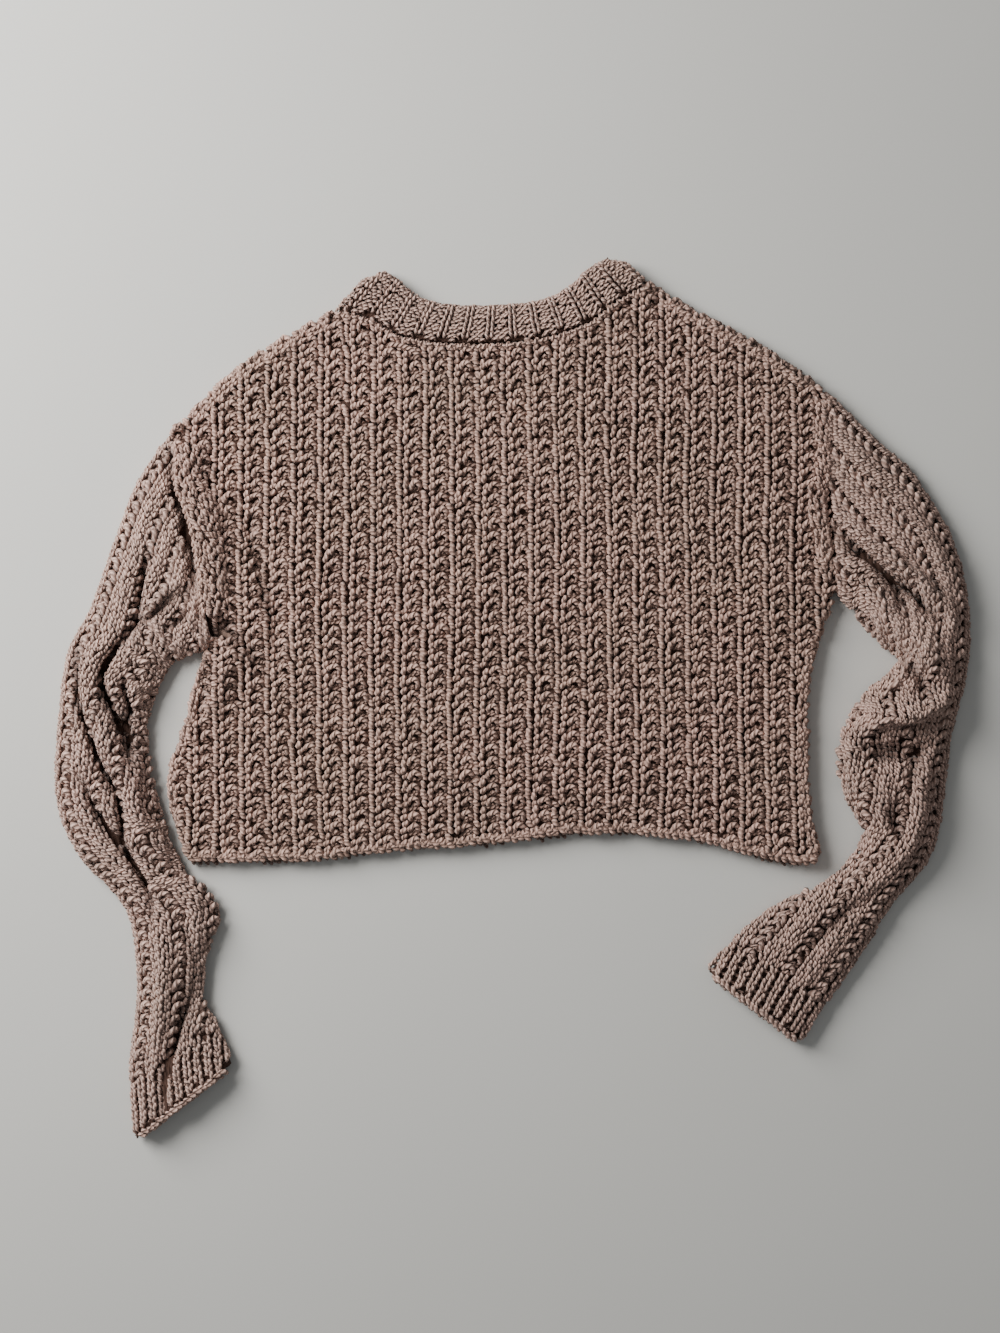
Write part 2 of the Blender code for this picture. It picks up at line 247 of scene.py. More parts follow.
RIGHT_CREASES = (
    Crease(5, 8, 0, ((258, 213), (288, 169), (318, 134), (345, 110), (358, 75))),
    Crease(9, 4.2, 0, ((257, 146), (275, 131), (292, 117), (316, 97), (337, 78), (352, 58))),
    Crease(-10, 4.0, 0, ((257, 134), (277, 116), (298, 98), (318, 81), (336, 62))),
    Crease(9, 7, 0, ((262, 104), (277, 98), (291, 84), (297, 70))),
    Crease(-8, 3.6, 0, ((268, 116), (284, 107), (299, 90), (308, 76))),
    Crease(15, 10, -5, ((284, 74), (298, 61), (316, 48), (333, 31), (348, 12))),
    Crease(-6.5, 5, 0, ((305, 34), (314, 28), (324, 14), (325, 2))),
    Crease(6, 5, 0, ((317, 24), (296, 10), (276, -4), (263, -19))),
    Crease(18, 7.5, -8, ((262, -38), (268, -25), (293, -10), (320, -6), (341, 2), (351, 6))),
    Crease(-14, 11, 0, ((282, -40), (302, -44), (320, -42))),
    Crease(10, 7, 0, ((262, -38), (264, -52), (276, -70), (289, -79), (297, -86))),
    Crease(-8, 5, 0, ((329, -31), (318, -54), (316, -70))),
    Crease(8, 8, 0, ((343, -22), (330, -43), (322, -62), (322, -87), (310, -117), (297, -127))),
    Crease(-6, 5, 0, ((297, -88), (304, -102), (308, -112))),
    Crease(-7, 4, 0, ((211, -154), (230, -152), (252, -146))),
    Crease(-5, 5, 0, ((292, -150), (262, -172), (226, -206))),
)
LEFT_CREASES = (
    Crease(-12, 4.6, 0, ((-272, 200), (-269, 174), (-262, 148), (-256, 122), (-252, 92))),
    Crease(-12, 3.4, 0, ((-290, 112), (-294, 84), (-299, 58), (-314, 40))),
    Crease(-15, 4.0, 0, ((-314, 40), (-324, 20), (-324, 6), (-317, -10), (-307, -28),
        (-303, -50))),
    Crease(-12, 3.4, 0, ((-345, 46), (-345, 14), (-341, -14), (-333, -34), (-327, -49),
        (-313, -79), (-307, -113), (-290, -146))),
    Crease(-13, 3.4, 0, ((-307, 14), (-305, -6), (-304, -40))),
    Crease(5, 3.6, 0, ((-303, 14), (-295, -6), (-290, -20), (-290, -46))),
    Crease(-10, 3.6, 0, ((-343, -60), (-330, -89), (-313, -113), (-301, -129), (-290, -150))),
    Crease(7, 9, 2, ((-335, 40), (-333, 14), (-330, -14), (-313, -46), (-301, -73), (-295, -99),
        (-277, -119), (-250, -146))),
    Crease(-6, 3.6, 0, ((-266, 84), (-282, 68), (-298, 55))),
    Crease(5, 5, 0, ((-262, 92), (-280, 78), (-296, 68))),
    Crease(-7, 3.6, 0, ((-258, 66), (-272, 56))),
    Crease(-8, 3.6, 0, ((-263, -182), (-251, -201), (-251, -225), (-258, -248), (-265, -270),
        (-275, -300), (-275, -330))),
    Crease(-6, 3.6, 0, ((-297, -133), (-286, -159), (-284, -176))),
    Crease(5, 9, 0, ((-252, -150), (-240, -160))),
    Crease(5, 8, 0, ((-284, -190), (-276, -226), (-284, -280))),
)
BODY_CREASES = (
    Crease(5, 10, 0, ((-258, 200), (-254, 172), (-246, 148), (-239, 122), (-237, 96), (-234, 66))),
    Crease(-10, 6, 0, ((-240, 50), (-226, 56))),
    Crease(-5, 8, 0, ((-236, 44), (-246, 12), (-254, -16))),
    Crease(6.0, 9, 0, ((-222, 46), (-231, 14), (-242, -16))),
    Crease(-5, 5, 0, ((-233, 60), (-222, 49), (-210, 41), (-201, 22))),
    Crease(-3.4, 4, 0, ((-216, 156), (-204, 112), (-190, 60), (-194, 8))),
    Crease(4.0, 12, 0, ((-218, 112), (-208, 78), (-202, 56))),
    Crease(2.6, 14, 0, ((-176, 150), (-172, 80), (-180, 0))),
    Crease(3.0, 22, 0, ((196, 208), (206, 112), (188, 22))),
    Crease(2.2, 26, 0, ((-84, -66), (20, -52), (128, -62))),
)


# --------------------------------------------------------------------------- curves and folds

def plan(rows: Sequence[Point]) -> np.ndarray:
    """The x and y of a table of points, in metres, in the frame."""
    return np.array(rows, float) * MM + (SIZES.origin_x, SIZES.origin_y)


def smooth(knots: np.ndarray, shares: np.ndarray) -> np.ndarray:
    """Works out rows on a Catmull-Rom curve through knots.

    Args:
        knots: rows of numbers, two or more.
        shares: places along the curve's length, from 0 to 1.

    Returns:
        A row for each share.
    """
    knots = np.asarray(knots, float)
    padded = np.vstack([2 * knots[0] - knots[1], knots, 2 * knots[-1] - knots[-2]])
    dense = []
    for before, start, end, after in zip(padded, padded[1:], padded[2:], padded[3:]):
        for t in np.linspace(0, 1, CURVE_STEPS, endpoint=False):
            bend = (2 * before - 5 * start + 4 * end - after) * t * t
            twist = (3 * start - before - 3 * end + after) * t ** 3
            dense.append(0.5 * (2 * start + (end - before) * t + bend + twist))
    dense = np.array(dense + [knots[-1]])
    steps = np.linalg.norm(np.diff(dense, axis=0), axis=1)
    run = np.concatenate([[0], np.cumsum(steps)]) / steps.sum()
    return np.stack([np.interp(shares, run, column) for column in dense.T], axis=1)


def curve(rows: Sequence[Point], count: int = 40) -> np.ndarray:
    """A table of points as a smooth curve of count points in plan."""
    return smooth(plan(rows), np.linspace(0, 1, count))


def run_of(points: np.ndarray) -> np.ndarray:
    """Distance along a polyline at each of its points."""
    steps = np.linalg.norm(np.diff(points, axis=0), axis=1)
    return np.concatenate([[0], np.cumsum(steps)])


def unit(vectors: np.ndarray) -> np.ndarray:
    """The same directions with length one."""
    return vectors / np.maximum(np.linalg.norm(vectors, axis=-1, keepdims=True), 1e-12)


def leftward(directions: np.ndarray) -> np.ndarray:
    """Directions in plan turned a quarter to the left."""
    return np.stack([-directions[..., 1], directions[..., 0]], axis=-1)


class Nearest(NamedTuple):
    """The nearest places on a route: distance, share along it, side (1 is left), direction."""

    apart: np.ndarray
    share: np.ndarray
    side: np.ndarray
    heading: np.ndarray


def nearest_on(route: np.ndarray, points: np.ndarray) -> Nearest:
    """Looks up the nearest place on a polyline for each point in plan.

    Args:
        route: the polyline, rows of x and y.
        points: rows of x and y.

    Returns:
        What is nearest to each point.
    """
    start, step = route[:-1], np.diff(route, axis=0)
    length = np.maximum((step ** 2).sum(axis=1), 1e-18)
    headings = unit(step)
    best = np.full(len(points), 1e9)
    share, side = np.zeros(len(points)), np.zeros(len(points))
    heading = np.zeros((len(points), 2))
    for index in range(len(start)):
        along = np.clip((points - start[index]) @ step[index] / length[index], 0, 1)[:, None]
        away = points - start[index] - along * step[index]
        apart = np.linalg.norm(away, axis=1)
        before = headings[max(index - 1, 0)] + headings[index]
        after = headings[index] + headings[min(index + 1, len(start) - 1)]
        facing = np.where(along <= 0, before, np.where(along >= 1, after, headings[index]))
        closer = apart < best
        cross = facing[:, 0] * away[:, 1] - facing[:, 1] * away[:, 0]
        best = np.where(closer, apart, best)
        share = np.where(closer, (index + along[:, 0]) / len(start), share)
        side = np.where(closer, np.sign(cross), side)
        heading[closer] = headings[index]
    return Nearest(best, share, side, heading)


class Relief(NamedTuple):
    """What creases add: heights, shifts in plan where a crest leans over, and painted shade."""

    rise: np.ndarray
    shift: np.ndarray
    painted_dark: np.ndarray


def relief(points: np.ndarray, creases: Sequence[Crease]) -> Relief:
    """Adds up creases at points in plan, fading to each side and at their ends.

    Args:
        points: rows of x and y.
        creases: the ridges and troughs.

    Returns:
        What the creases add at each point.
    """
    rise, painted_dark = np.zeros(len(points)), np.zeros(len(points))
    shift = np.zeros((len(points), 2))
    for crease in creases:
        near = nearest_on(curve(crease.route, FOLDS.samples), points)
        fade = np.sin(math.pi * (FOLDS.end + FOLDS.span * near.share))
        reach = crease.reach * MM
        steep = FOLDS.ridge if crease.rise > 0 else FOLDS.trough
        bell = fade * np.exp(-((near.apart / reach) ** steep)) * MM
        rise += crease.rise * bell
        shift += crease.lean * bell[:, None] * leftward(near.heading)
        # painted shade: a trough darkens the cloth along it, a narrow one most
        depth = max(-crease.rise, 0.0) * MM / SIZES.crease_depth * min(1.0, SIZES.slit / reach)
        narrow = min(reach, 2 * SIZES.slit)
        painted_dark += depth * fade * np.exp(-((near.apart / narrow) ** FOLDS.trough))
    return Relief(rise, shift, painted_dark)


# --------------------------------------------------------------------------- surfaces

class Surface:
    """A smooth grid of points that maps a cloth's flat columns and rows into the frame.

    Columns are distances across the cloth in metres, rows are distances along it.
    """

    def __init__(self, points: np.ndarray, first_column: float, first_row: float,
                 row_step: float) -> None:
        """Keeps the grid, its normals, which point up where it lies flat, and its painted shade.

        Args:
            points: rows by columns by 3, columns SIZES.grid apart, or by 4 with painted darkness.
            first_column: distance across of the first column.
            first_row: distance along of the first row.
            row_step: distance along from one row to the next.
        """
        points, painted_dark = points[..., :3], points[..., 3:].sum(axis=-1)
        self.points = points
        self.first_column, self.first_row, self.row_step = first_column, first_row, row_step
        across = np.gradient(points, axis=1)
        along = np.gradient(points, axis=0)
        normals = unit(np.cross(across, along))
        uppermost = normals[..., 2][points[..., 2] > SIZES.face - SIDE_LEVEL]
        self.normals = normals * (1 if np.median(uppermost) > 0 else -1)
        self.stretch = np.linalg.norm(along, axis=2) / row_step
        # painted shade: places lower than their surroundings, and in creases, are darkened
        height = points[..., 2]
        reach = int(SIZES.shade_reach / SIZES.grid)
        around = sum(np.roll(height, shift, axis=axis) for axis in (0, 1)
                     for shift in range(-reach, reach + 1)) / (4 * reach + 2)
        depth = np.clip((around - height) / SIZES.shade_depth, 0, 1)
        self.hollow = np.clip(painted_dark + SHADE.depth * depth, 0, 1)

    @property
    def columns(self) -> np.ndarray:
        """Distance across of each column of the grid."""
        return self.first_column + np.arange(self.points.shape[1]) * SIZES.grid

    @property
    def rows(self) -> np.ndarray:
        """Distance along of each row of the grid."""
        return self.first_row + np.arange(self.points.shape[0]) * self.row_step

    def _sample(self, values: np.ndarray, column: np.ndarray, row: np.ndarray) -> np.ndarray:
        """Works out values at places between the grid's points.

        Args:
            values: a number or a vector for each point of the grid.
            column: distances across.
            row: distances along.

        Returns:
            A number or a vector for each place.
        """
        last = 1.001  # keeps the next point on the grid
        u = np.clip((column - self.first_column) / SIZES.grid, 0, values.shape[1] - last)
        v = np.clip((row - self.first_row) / self.row_step, 0, values.shape[0] - last)
        i, j = v.astype(int), u.astype(int)
        s, t = v - i, u - j
        if values.ndim == 3:
            s, t = s[..., None], t[..., None]
        below = values[i, j] * (1 - t) + values[i, j + 1] * t
        above = values[i + 1, j] * (1 - t) + values[i + 1, j + 1] * t
        return below * (1 - s) + above * s

    def at(self, column: np.ndarray, row: np.ndarray) -> tuple[np.ndarray, np.ndarray]:
        """Points and unit normals at columns and rows."""
        normals = self._sample(self.normals, column, row)
        return self._sample(self.points, column, row), unit(normals)

    def stretch_at(self, column: np.ndarray, row: np.ndarray) -> np.ndarray:
        """How far a unit along the rows really goes there, never less than a fifth."""
        return np.maximum(self._sample(self.stretch, column, row), 0.2)

    def painted_shade_at(self, column: np.ndarray, row: np.ndarray) -> np.ndarray:
        """Painted shade of a place, from how deep it lies among its surroundings and in creases, 0
        to 1.
        """
        return self._sample(self.hollow, column, row)

    def holds(self, column: np.ndarray, row: np.ndarray) -> np.ndarray:
        """Whether places are on the grid."""
        return ((column >= self.columns[0]) & (column <= self.columns[-1])
                & (row >= self.rows[0]) & (row <= self.rows[-1]))

    def marks(self, column: float, pitch: float) -> np.ndarray:
        """Finds rows that are a real distance apart along one column.

        Args:
            column: distance across of the column.
            pitch: the distance in metres.

        Returns:
            Distances along.
        """
        dense = self.rows
        stretch = self.stretch_at(np.full(len(dense), column), dense)
        run = np.concatenate([[0], np.cumsum((stretch[:-1] + stretch[1:]) / 2 * self.row_step)])
        return np.interp(np.arange(pitch / 2, run[-1], pitch), run, dense)


def rolled_surface(flat: np.ndarray, outline: np.ndarray, creases: Sequence[Crease],
                   swell: float = 0.0) -> np.ndarray:
    """Lays a flat grid at the face's height and rolls it under past an outline.

    Args:
        flat: rows by columns by 2, in plan.
        outline: a polyline with the cloth on its right.
        creases: ridges and troughs of the face.
        swell: how much higher than the face it lies.

    Returns:
        The grid's points and their painted darkness, rows by columns by 4.
    """
    places = flat.reshape(-1, 2)
    near = nearest_on(outline, places)
    depth = -near.side * near.apart
    step = 0.5 * MM
    slope = []
    for shift in ((step, 0.0), (0.0, step)):
        ahead = nearest_on(outline, places + shift)
        slope.append((-ahead.side * ahead.apart - depth) / step)
    inward = unit(np.column_stack(slope))
    folds = relief(places, creases)
    top = SIZES.face + swell + np.maximum(folds.rise, SIZES.hollow - SIZES.face)
    angle = np.clip((SIZES.roll - depth) / SIZES.roll, 0, math.pi)
    beneath = np.maximum(-depth - SIZES.roll * (math.pi - 1), 0)
    inset = np.where(depth > SIZES.roll, depth, SIZES.roll * (1 - np.sin(angle)) + beneath)
    middle, half = (top + SIZES.under) / 2, (top - SIZES.under) / 2
    moved = places + inward * (inset - depth)[:, None] + folds.shift
    points = np.column_stack([moved, middle + half * np.cos(angle), folds.painted_dark])
    return points.reshape(flat.shape[:2] + (4,))


def ring(outer: np.ndarray, inner: np.ndarray, loft: float,
         creases: Sequence[Crease]) -> tuple[np.ndarray, np.ndarray]:
    """Makes one section of a flattened tube, from its underside over the top and back under.

    Args:
        outer: x and y of the outer edge.
        inner: x and y of the inner edge.
        loft: how far its layers are apart.
        creases: ridges and troughs of its face.

    Returns:
        Distances round the section, zero at the outer edge's crest, and the points there
        with their painted darkness.
    """
    width = np.linalg.norm(inner - outer)
    across = (inner - outer) / width
    roll = SIZES.roll
    u = np.linspace(0, 1, RING_TOP)
    run = roll + (width - 2 * roll) * u
    folds = relief(outer + run[:, None] * across, creases)
    ease = np.sin(math.pi * u) ** 0.5 * min(1.0, FOLDS.least_ease + loft / FOLDS.full_loft)
    top = SIZES.face + loft * (4 * u * (1 - u)) ** FOLDS.round_top + folds.rise * ease
    top = np.maximum(top, SIZES.hollow)
    turn = np.linspace(0, math.pi, RING_TURN)[1:-1]
    middle, half = (SIZES.face + SIZES.under) / 2, (SIZES.face - SIZES.under) / 2
    under = np.linspace(0, 0.5, RING_UNDER)
    under_run = roll + (width - 2 * roll) * under
    places = np.concatenate([
        under_run[::-1], roll - roll * np.sin(turn[::-1]), run,
        width - roll + roll * np.sin(turn), width - under_run,
    ])
    heights = np.concatenate([
        np.full(len(under), SIZES.under), middle + half * np.cos(turn[::-1]), top,
        middle + half * np.cos(turn), np.full(len(under), SIZES.under),
    ])
    points = np.column_stack([outer + places[:, None] * across, heights, np.zeros(len(heights))])
    first = len(under) + len(turn)
    points[first:first + len(run), 0:2] += folds.shift * ease[:, None]
    points[first:first + len(run), 3] = folds.painted_dark
    distance = run_of(points[:, 0:3])
    return distance - distance[len(under) + len(turn) // 2], points


def sections(table: Sequence[Section], step: float) -> tuple[np.ndarray, float]:
    """Spaces a table of sections evenly.

    Args:
        table: the sections.
        step: distance from one row to the next, about.

    Returns:
        Rows like the table's, in metres, and the tube's length.
    """
    rows = np.array([tuple(row) for row in table], float) * MM
    rows[:, 0:4] += np.tile((SIZES.origin_x, SIZES.origin_y), 2)
    length = run_of((rows[:, 0:2] + rows[:, 2:4]) / 2)[-1]
    shares = np.linspace(0, 1, int(length / step) + 2)
    return smooth(rows, shares), length


def tube_surface(table: Sequence[Section], creases: Sequence[Crease]) -> Surface:
    """Makes a sleeve's face, in columns from its outer edge and rows from its armhole.

    Args:
        table: the sections.
        creases: ridges and troughs of the face.

    Returns:
        The surface.
    """
    fine, length = sections(table, SIZES.grid)
    rings = [ring(row[0:2], row[2:4], row[4], creases) for row in fine]
    columns = np.arange(-16 * MM, max(distance[-1] for distance, _ in rings), SIZES.grid)
    grid = np.zeros((len(fine), len(columns), 4))
    for index, (distance, points) in enumerate(rings):
        for axis in range(4):
            grid[index, :, axis] = np.interp(columns, distance, points[:, axis])
    return Surface(grid, columns[0], 0.0, length / (len(fine) - 1))


def strip_surface(route: np.ndarray, heights: np.ndarray | float, crown: float,
                  half: float = STRIP_HALF) -> Surface:
    """Makes a narrow strip over a route, for a seam's or an edge's row of stitches.

    Args:
        route: a polyline in plan.
        heights: the strip's height, or its heights along the route.
        crown: how much lower its sides are than its middle.
        half: half of the strip's width.

    Returns:
        The strip's surface.
    """
    length = run_of(route)[-1]
    count = int(length / SIZES.grid) + 2
    shares = np.linspace(0, 1, count)
    fine = smooth(np.column_stack([route, np.broadcast_to(heights, len(route))]), shares)
    side = -leftward(unit(np.gradient(fine[:, 0:2], axis=0)))
    columns = np.arange(-half, half + SIZES.grid, SIZES.grid)
    grid = np.zeros((count, len(columns), 3))
    grid[..., 0:2] = fine[:, None, 0:2] + columns[:, None] * side[:, None]
    grid[..., 2] = fine[:, None, 2] - crown * (columns / half) ** 2
    return Surface(grid, columns[0], 0.0, length / (count - 1))


# --------------------------------------------------------------------------- stitches

class Knot(NamedTuple):
    """A point on a strand: across and along in millimetres, height and girth in yarn radii."""

    x: float
    y: float
    height: float
    girth: float


class Strand(NamedTuple):
    """A piece of yarn that shows in a stitch, and how many sides its tube has."""

    knots: tuple[Knot, ...]
    sides: int

    def mirrored(self) -> Strand:
        """The same strand on the other side of the stitch."""
        return Strand(tuple(knot._replace(x=-knot.x) for knot in self.knots), self.sides)

    def moved(self, x: float, y: float) -> Strand:
        """The same strand further across and along."""
        return Strand(tuple(k._replace(x=k.x + x, y=k.y + y) for k in self.knots), self.sides)

    def raised(self, height: float) -> Strand:
        """The same strand higher, by a number of yarn radii."""
        return Strand(tuple(k._replace(height=k.height + height) for k in self.knots), self.sides)

    def turned(self) -> Strand:
        """The same strand the other way up."""
        return Strand(tuple(knot._replace(y=-knot.y) for knot in self.knots), self.sides)


class Stitch(NamedTuple):
    """A motif and how it is worked: distance between rows, yarn radius, size, unevenness."""

    strands: tuple[Strand, ...]
    pitch: float
    radius: float = SIZES.yarn
    scale: float = 1.0
    uneven: float = 1.0


def both(strand: Strand) -> tuple[Strand, Strand]:
    """A strand and its mirror image."""
    return strand, strand.mirrored()


ARM = Strand((
    Knot(6.1, 3.0, -1.3, 0.55), Knot(6.9, 1.3, 0.0, 1.0),
    Knot(8.4, -1.0, 0.15, 1.06), Knot(9.2, -2.7, -1.2, 0.58),
), 6)
ARCH = Strand((
    Knot(-3.8, -4.0, -1.1, 0.7), Knot(-4.2, -2.3, -0.2, 0.98), Knot(-2.5, 0.3, 0.1, 1.0),
    Knot(0.0, 1.7, 0.4, 1.1), Knot(2.5, 0.3, 0.1, 1.0), Knot(4.2, -2.3, -0.2, 0.98),
    Knot(3.8, -4.0, -1.1, 0.7),
), 6)
NEST = Strand((Knot(-2.2, -4.6, -1.4, 0.7), Knot(0.0, -3.3, -0.7, 0.95),
               Knot(2.2, -4.6, -1.4, 0.7)), 5)
BAR = Strand((Knot(-5.8, 4.2, -1.3, 0.85), Knot(0.0, 4.9, -1.3, 0.95),
              Knot(5.8, 4.2, -1.3, 0.85)), 5)
LEG = Strand((
    Knot(2.1, 4.3, -1.2, 0.55), Knot(2.0, 2.0, 0.1, 0.98),
    Knot(1.4, -1.2, 0.2, 1.0), Knot(1.0, -3.7, -1.1, 0.55),
), 6)
PURL = Strand((
    Knot(-2.5, -0.9, -1.1, 0.7), Knot(-1.3, 0.4, 0.0, 1.0), Knot(1.3, 0.4, 0.0, 1.0),
    Knot(2.5, -0.9, -1.1, 0.7),
), 5)
BEAD = Strand((
    Knot(-2.3, -2.7, -1.5, 0.65), Knot(-1.2, -1.5, 0.0, 1.0), Knot(1.2, 1.5, 0.1, 1.05),
    Knot(2.3, 2.7, -1.3, 0.65),
), 6)
FLOAT = Strand((Knot(-3.4, 0.0, -1.6, 0.8), Knot(0.0, 0.3, -1.3, 0.9),
                Knot(3.4, 0.0, -1.6, 0.8)), 4)

VEE, DOWN_VEE = both(LEG), both(LEG.turned())
NARROW_VEE = both(Strand((
    Knot(2.6, 2.6, -0.9, 0.7), Knot(2.2, 1.0, 0.3, 1.0), Knot(1.9, -1.1, 0.35, 1.04),
    Knot(1.5, -2.6, -0.9, 0.7),
), 6))

LANE = Stitch((*both(ARM.moved(0, 2.6)), *both(ARM.moved(0, -2.6)), ARCH, NEST, BAR),
              SIZES.cell, uneven=1.25)
EYELET = Stitch((ARCH.turned().raised(-0.15), NEST.turned(), BAR.turned()), SIZES.cell * 0.9,
                uneven=1.2)
BAND_VEES = tuple(Stitch(tuple(leg.raised(height) for leg in DOWN_VEE), SIZES.row, 1.7 * MM)
                  for height in (0.0, 0.6, 0.0))
CHAIN = (BEAD, BEAD.moved(0.6, 0).mirrored().moved(0, 2.4))
HEM_CHAIN = Stitch(CHAIN, 5.6 * MM, 2.2 * MM)
HEM_EDGE = Stitch((BEAD,), 5.6 * MM, 2.0 * MM)
ROLL_VEE = Stitch(VEE, SIZES.row, 1.7 * MM, uneven=1.8)
ROLL_EDGE = Stitch((BEAD,), 4.6 * MM, 1.8 * MM)
CUFF_VEE = Stitch(DOWN_VEE, SIZES.row * 0.92, 1.7 * MM)
CUFF_FLOAT = Stitch((FLOAT,), SIZES.row, 1.5 * MM, scale=0.8)
CUFF_EDGE = Stitch((BEAD,), 4.8 * MM, 1.9 * MM)
NECK_VEE = Stitch(NARROW_VEE, 4.9 * MM, 1.45 * MM, uneven=0.7)
NECK_PURL = Stitch((PURL.moved(-4.5, 0), PURL.moved(0, 0.3), PURL.moved(4.5, 0)), 4.9 * MM,
                   1.2 * MM)
NECK_PURL_BETWEEN = Stitch((PURL.moved(-2.25, 0), PURL.moved(2.25, 0)), 4.9 * MM, 1.2 * MM)


class Trim(NamedTuple):
    """Stitches along an edge, in millimetres: inset from it, lift over the face, crown."""

    inset: float
    lift: float
    crown: float
    stitch: Stitch


SIDE_TRIM = Trim(3.4, -0.4, 3.0, Stitch(VEE, SIZES.row, 1.8 * MM))
SHOULDER_TRIM = Trim(7.5, 0.6, 1.6, Stitch(VEE, 5.0 * MM, 1.7 * MM, scale=0.85))
NECK_TRIM = Trim(3.7, 1.0, 1.6, Stitch(CHAIN, 4.6 * MM, 1.6 * MM, scale=0.8))


class Tubes(NamedTuple):
    """Tubes along strands of one kind, with each corner's place in its square and its ply."""

    vertices: np.ndarray
    faces: np.ndarray
    shares: np.ndarray
    ply: np.ndarray


def tubes(points: np.ndarray, normals: np.ndarray, radii: np.ndarray, sides: int) -> Tubes:
    """Makes round tubes along strands, closed by pointed caps, as triangles.

    Args:
        points: strands by knots by 3.
        normals: the cloth's directions outwards there.
        radii: strands by knots.
        sides: sides of each tube.

    Returns:
        The tubes, one strand's after another's.
    """
    count, size = points.shape[:2]
    tangents = unit(np.gradient(points, axis=1))
    aside = unit(np.cross(tangents, normals))
    upward = np.cross(aside, tangents)
    angle = np.arange(sides) * 2 * math.pi / sides
    rings = points[:, :, None] + radii[..., None, None] * (
        np.cos(angle)[:, None] * upward[:, :, None] + np.sin(angle)[:, None] * aside[:, :, None]
    )
    tips = np.stack([
        points[:, 0] - tangents[:, 0] * radii[:, :1] * CAP,
        points[:, -1] + tangents[:, -1] * radii[:, -1:] * CAP,
    ], axis=1)
    vertices = np.concatenate([rings.reshape(count, -1, 3), tips], axis=1)
    each = vertices.shape[1]
    faces, shares = [], []
    along = np.linspace(CAP_SHARE, 1 - CAP_SHARE, size)
    for knot in range(size - 1):
        for side in range(sides):
            after = (side + 1) % sides
            low, high = knot * sides, (knot + 1) * sides
            v, w = side / sides, (side + 1) / sides
            here, there = along[knot], along[knot + 1]
            faces += [(low + side, low + after, high + after),
                      (low + side, high + after, high + side)]
            shares += [((here, v), (here, w), (there, w)), ((here, v), (there, w), (there, v))]
    for side in range(sides):
        after = (side + 1) % sides
        last = (size - 1) * sides
        v, w = side / sides, (side + 1) / sides
        faces += [(side, each - 2, after), (last + side, last + after, each - 1)]
        shares += [((along[0], v), (0.0, (v + w) / 2), (along[0], w)),
                   ((along[-1], v), (along[-1], w), (1.0, (v + w) / 2))]
    faces, shares = np.array(faces), np.array(shares).reshape(-1, 2)
    length = np.linalg.norm(np.diff(points, axis=1), axis=2).sum(axis=1)
    ply = np.repeat(shares[None], count, axis=0)
    ply[..., 0] *= length[:, None] / (2 * SIZES.yarn)
    all_faces = (faces[None] + (np.arange(count) * each)[:, None, None]).reshape(-1, 3)
    return Tubes(vertices.reshape(-1, 3), all_faces, shares, ply)


def link_mesh(name: str, vertices: np.ndarray, faces: np.ndarray) -> bpy.types.Object:
    """Makes a smooth shaded object of triangles or quads.

    Args:
        name: the object's name.
        vertices: rows of x, y and z.
        faces: rows of the vertices' numbers.

    Returns:
        The object, in the scene.
    """
    mesh = bpy.data.meshes.new(name)
    corners = faces.shape[1]
    mesh.vertices.add(len(vertices))
    mesh.vertices.foreach_set("co", vertices.astype(np.float32).ravel())
    mesh.loops.add(faces.size)
    mesh.loops.foreach_set("vertex_index", faces.astype(np.int32).ravel())
    mesh.polygons.add(len(faces))
    mesh.polygons.foreach_set("loop_start", np.arange(0, faces.size, corners, dtype=np.int32))
    mesh.polygons.foreach_set("use_smooth", np.ones(len(faces), bool))
    mesh.update(calc_edges=True)
    piece = bpy.data.objects.new(name, mesh)
    bpy.context.scene.collection.objects.link(piece)
    return piece


def everywhere(places: np.ndarray) -> np.ndarray:
    """Keeps every stitch."""
    return np.ones(len(places), bool)


def showing(places: np.ndarray) -> np.ndarray:
    """Keeps the stitches that aren't underneath, 0.6 mm over its height or more."""
    return places[:, 2] > SIZES.under + 0.6 * MM


